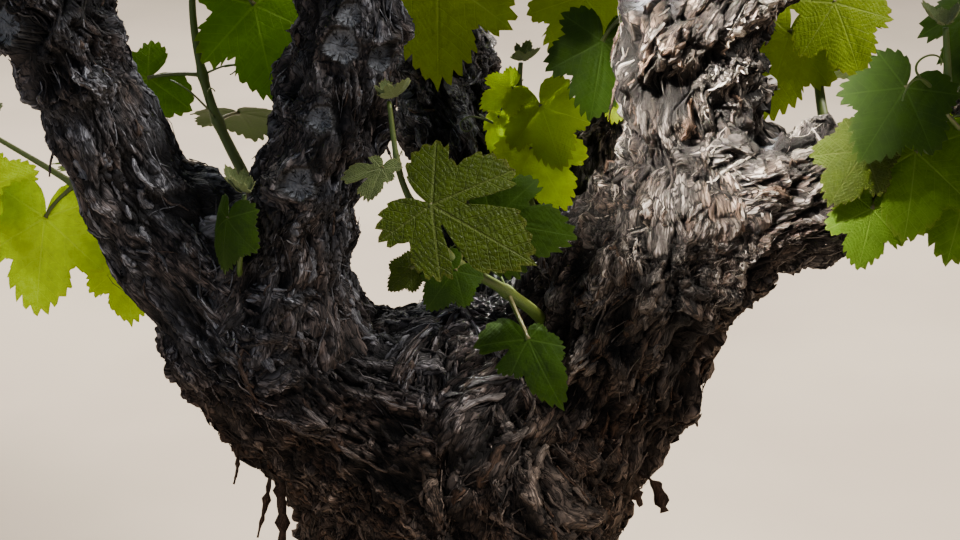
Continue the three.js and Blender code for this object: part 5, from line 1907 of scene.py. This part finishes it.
class LeafSkin:
    """Leaves as closed shells on a polar grid round the junction."""

    VEINS = np.array([-116.0, -54.0, 0.0, 54.0, 116.0])

    def __init__(self, teeth: int, rings: int, facets: int = 2) -> None:
        """Set out the grid that every leaf of one kind shares.

        Args:
            teeth: how many teeth the rim has.
            rings: how many rings lie between the junction and the rim.
            facets: how many columns a tooth takes: two for a sharp one, three for a blunt one.
        """
        self.ring = np.linspace(0, 1, rings + 1)[1:] ** 0.85
        fine = np.linspace(-180, 180, 1441)
        reach = self.outline(fine, np.array([[0.5, 0.5, 0.45, 0.45]]), np.array([LOBES]))[0]
        x, y = reach * np.cos(np.radians(fine)), reach * np.sin(np.radians(fine))
        run = np.concatenate([[0], np.cumsum(np.hypot(np.diff(x), np.diff(y)))])
        marks = np.interp([-180, *self.VEINS, 180], fine, run)
        angles = []
        form = {2: (1.0, -1.0), 3: (1.0, -1.0, 0.45)}[facets]
        for a, b in zip(marks[:-1], marks[1:]):
            count = facets * max(1, round(teeth * (b - a) / run[-1]))
            angles.append(np.interp(a + (b - a) * np.arange(count) / count, run, fine))
        self.angle = np.concatenate(angles)
        self.tooth = np.array(form)[np.arange(len(self.angle)) % facets]
        self.number = np.arange(len(self.angle)) // facets

    @staticmethod
    def outline(angle: Array, sinus: Array, lobes: Array) -> Array:
        """Return the rim's distance from the junction at each angle, for a leaf of length 1.

        Args:
            angle: degrees from the middle lobe.
            sinus: for each leaf, how near its four sinuses come to the junction: the upper ones on
                the left and right, then the lower ones.
            lobes: for each leaf, how far its five lobes reach, from the lower left to the lower right.

        Returns:
            Leaves by angles. A smooth curve runs through the lobes' tips and the shallow valleys
            between them. Each sinus takes it down to its own distance, between steep walls.
        """
        marks = np.array([(0, 1.0), (6, 0.955), (18, 0.82), (33, 0.70), (46, 0.74), (56, 0.78), (65, 0.74),
                          (80, 0.62), (94, 0.55), (106, 0.58), (117, 0.60), (128, 0.57), (146, 0.48),
                          (160, 0.37), (171, 0.19), (176, 0.09), (180, 0.05)])
        plain = np.interp(np.abs(angle), marks[:, 0], marks[:, 1])
        reach = plain[None] * np.array([np.interp(-angle, LeafSkin.VEINS, own) for own in lobes / LOBES])
        for k, (place, narrow, wide) in enumerate(((35, 2, 9), (-35, 2, 9), (93, 3, 14), (-93, 3, 14))):
            notch = 1.0 - smooth(narrow, wide, np.abs(angle - place))
            reach = reach - notch * np.maximum(reach - sinus[:, k:k + 1], 0)
        return reach

    @staticmethod
    def shell(low: Array, high: Array, ends: Array) -> Array:
        """Return each leaf's rows: out along one side, back along the other, then the two poles."""
        rows = np.concatenate([low, high[:, ::-1]], axis=1)
        return np.concatenate([rows.reshape(len(low), -1, 3), ends], axis=1)

    def add(self, skin: Skin, leaves: list[Leaf], seed: int) -> None:
        """Add leaves to a skin.

        A point starts on the flat leaf, at its share of the rim's distance, with the rim's teeth.
        The leaf is then rolled down along and across, each on a circle. It is quilted between the
        main veins by the sine of the place between them, and its edge waves by the cube of the
        share. Each face stands off half the thickness, and the underside swells along the veins.

        Args:
            skin: the skin that is being put together.
            leaves: the leaves.
            seed: chooses how each one waves.
        """
        dice = np.random.default_rng(seed)
        many, angle = len(leaves), np.radians(self.angle)
        length, wave, arch, bend = (np.array([getattr(leaf, name) for leaf in leaves])[:, None, None]
                                    for name in ("length", "wave", "arch", "bend"))
        sinus = [leaf.sinus if len(leaf.sinus) == 4 else np.repeat(leaf.sinus, 2) for leaf in leaves]
        sinus = np.array(sinus) + dice.normal(0, 0.03, (many, 4))
        lobes = np.array([leaf.lobes for leaf in leaves]) + dice.normal(0, 0.02, (many, 5)) * (1, 1, 0, 1, 1)
        reach = self.outline(self.angle, sinus, lobes)
        big = (0.024 + 0.044 * dice.random((many, self.number[-1] + 1)) ** 1.2)[:, self.number]
        tooth = 1 + big * self.tooth * (1 - 0.6 * smooth(150, 178, np.abs(self.angle)))
        jitter = 1 + dice.normal(0, 0.006, (many, len(angle)))
        reach = reach * (1 + 0.05 * dice.normal(0, 1, (many, 1)) * np.sin(angle)[None])
        ring = self.ring[None, :, None]
        edge = ring**7
        share = reach[:, None] * ring * (1 + (tooth * jitter - 1)[:, None] * edge)
        x, y = share * np.cos(angle), share * np.sin(angle)
        nearest = np.abs(self.angle[:, None] - self.VEINS[None]).argmin(1)
        off = np.radians(self.angle - self.VEINS[nearest])
        along, across = share * np.cos(off), share * np.abs(np.sin(off))
        gap = np.interp(np.abs(self.angle), [0, 54, 116, 180], [0, 1, 2, 3]) % 1.0
        quilt = np.abs(np.sin(math.pi * gap)) ** 0.75
        phase = dice.random((3, many, 1, 1)) * 2 * math.pi
        waves = sum(tall * np.sin(often * angle + shift) for (tall, often), shift in zip(EDGE_WAVES, phase))
        rise = 0.035 * quilt * share**1.25 * (1.1 - 0.5 * ring) + wave * share**2.5 * waves
        ripple = 0.006 * np.sin(2 * math.pi * (along - 0.6 * across) / 0.125)
        rise = rise + ripple * np.minimum(1, share * 3) * (1 - edge)
        arch, bend = arch + 1e-3, bend + 1e-3
        down = (1 - np.cos(arch * x)) / arch + (1 - np.cos(bend * y)) / bend
        local = np.stack([np.sin(arch * x) / arch, np.sin(bend * y) / bend, rise - down], -1)
        local = local * length[..., None]
        axes = np.array([np.stack(leaf.directions()) for leaf in leaves])
        at = np.array([leaf.at for leaf in leaves])
        middle = np.einsum("lrck,lkx->lrcx", local, axes) + at[:, None, None]
        tangent = np.roll(middle, -1, axis=2) - np.roll(middle, 1, axis=2)
        normal = unit(np.cross(np.gradient(middle, axis=1), tangent))
        along, across = along * VEIN_LEAF, across * VEIN_LEAF
        vein = np.exp(-((across / 1.6) ** 2)) * (1 - 0.7 * share)
        half = 0.16 + 0.05 * (1 - ring) + 0 * share
        top, bottom = middle + normal * half[..., None], middle - normal * (half + 0.55 * vein)[..., None]
        poles = at[:, None] + axes[:, 2:3] * np.array([-0.6, 0.3])[None, :, None]
        place = np.stack([along, across, ring + 0 * share], -1)
        points, place = self.shell(bottom, top, poles), self.shell(place, place, 0 * poles)
        rings, columns = len(self.ring), len(angle)
        under = np.zeros(points.shape[1])
        under[:rings * columns] = 1
        under[-2] = 1
        quads, tris = tube_faces(2 * rings, columns)
        for k, leaf in enumerate(leaves):
            skin.add(points[k], quads, tris, leaf.tint.value, vein=place[k], under=under)


def build_foliage(effects: Effects, bark: bpy.types.Material, wood: Wood) -> None:
    """Grow the foliage and build its pieces: spurs, stems, tendrils and leaves.

    Args:
        effects: the shared node groups.
        bark: the finish of old wood, which the spurs share.
        wood: the old wood, which knows how to sweep a limb.
    """
    foliage = Foliage()
    for crown in CROWNS:
        foliage.grow_crown(crown)
    foliage.grow_water_shoots()
    masses = tuple(crown.name for crown in CROWNS)
    spurs = Skin()
    for limb in foliage.wood:
        wood.sweep(limb, spurs)
    spurs.build("pruned_spurs", [bark], Slot.BARK, masses)
    green = [Shoot("green_shoot").material(effects)]
    foliage.stems().build("green_stems", green, Slot.FOLIAGE, masses + PLACED)
    foliage.tendrils().build("tendrils", green, Slot.FOLIAGE)
    blades = [BLADES[tint].material(effects) for tint in Tint]
    near = [leaf for shoot in foliage.shoots if shoot.mass in PLACED for leaf in shoot.leaves]
    far = [leaf for shoot in foliage.shoots if shoot.mass in masses for leaf in shoot.leaves]
    small = foliage.tips() + foliage.laterals()
    for name, form, leaves, seed, replaced in (("water_shoot_leaves", LeafSkin(46, 8, 3), near, 5, PLACED),
                                               ("crown_leaves", LeafSkin(40, 5), far, 6, masses),
                                               ("small_leaves", LeafSkin(26, 4), small, 8, ())):
        skin = Skin()
        form.add(skin, leaves, seed)
        skin.build(name, blades, Slot.FOLIAGE, replaced, LEAF_CREASE)


# Stage


@dataclass(frozen=True)
class Lamp:
    """A square soft light: its place and target in metres, its side, power, tint and beam."""

    name: str
    place: Point
    target: Point
    size: float
    watts: float
    colour: Colour
    spread: float = 180.0

    def hang(self) -> None:
        """Hang the light, facing its target."""
        data = bpy.data.lights.new(self.name, "AREA")
        data.spread = math.radians(self.spread)
        data.size, data.energy, data.color = self.size, self.watts, self.colour
        lamp = bpy.data.objects.new(self.name, data)
        lamp.location = self.place
        lamp.rotation_euler = (Vector(self.target) - Vector(self.place)).to_track_quat("-Z", "Y").to_euler()
        bpy.context.scene.collection.objects.link(lamp)


LAMPS = [
    Lamp("key", (1.35, -0.2, 1.9), (0.05, 0.0, 0.4), 0.4, 95, (1.0, 0.95, 0.87)),
    Lamp("back_light", (-0.5, 1.7, 1.7), (-0.05, 0.0, 0.45), 0.9, 70, (1.0, 0.97, 0.9)),
    Lamp("right_soft", (-0.62, -0.85, 1.75), (0.118, -0.03, 0.515), 0.1, 0.66, (1.0, 0.94, 0.85), 4.4),
    Lamp("leaf_glow", (0.06, 1.15, 1.45), (0.036, 0.05, 0.464), 0.1, 0.65, (1.0, 0.97, 0.9), 5.2),
    Lamp("front_fill", (-1.2, -1.8, 1.2), (0.0, 0.0, 0.35), 1.6, 9, (0.93, 0.96, 1.0)),
]


@dataclass
class Stage:
    """The pale floor, the studio lights and the camera at the photograph's viewing angle."""

    sand: Colour = (0.66, 0.54, 0.42)
    sky: Colour = (0.80, 0.87, 1.0)
    sky_strength: float = 0.3
    corners: tuple[Point, ...] = ((-9.0, -5.0, -0.0004), (9.0, -5.0, -0.0004), (9.0, 14.0, -0.0004),
                                  (-9.0, 14.0, -0.0004))
    camera_at: Point = (0.012, -0.9735, 0.7883)
    pitch: float = 68.0
    lens: float = 74.12

    def floor(self) -> None:
        """Lay the floor: a flat sheet just under the trunk, faintly mottled."""
        made, web = start_material("pale_floor", self.sand)
        mottle = web.noise(web.place(), 3.0).step(0.3, 0.7)
        web.finish(web.solid(web.mix(mottle, rgba(self.sand, 0.9), rgba(self.sand, 1.06)), 0.9, 0.2))
        mesh = bpy.data.meshes.new("floor")
        mesh.from_pydata(self.corners, [], [(0, 1, 2, 3)])
        mesh.materials.append(made)
        sheet = bpy.data.objects.new("floor", mesh)
        bpy.context.scene.collection.objects.link(sheet)

    def build(self) -> None:
        """Set up floor, sky, lights and camera."""
        self.floor()
        world = bpy.data.worlds.new("studio")
        world.use_nodes = True
        backdrop = world.node_tree.nodes["Background"]
        backdrop.inputs[0].default_value = rgba(self.sky)
        backdrop.inputs[1].default_value = self.sky_strength
        bpy.context.scene.world = world
        for lamp in LAMPS:
            lamp.hang()
        lens = bpy.data.cameras.new("camera")
        lens.lens = self.lens
        camera = bpy.data.objects.new("camera", lens)
        camera.location = self.camera_at
        camera.rotation_euler = (math.radians(self.pitch), 0.0, 0.0)
        bpy.context.scene.collection.objects.link(camera)
        bpy.context.scene.camera = camera


def main() -> None:
    """Build the vine's pieces in order, then the stage."""
    logging.basicConfig(level=logging.INFO, format="%(name)s: %(message)s")
    effects = Effects()
    bark = OldWood("old_bark").material(effects)
    wood = Wood()
    wood.build(bark)
    LooseBark().build(wood.surfaces, effects)
    build_foliage(effects, bark, wood)
    Stage().build()
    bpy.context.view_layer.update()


if __name__ == "__main__":
    main()
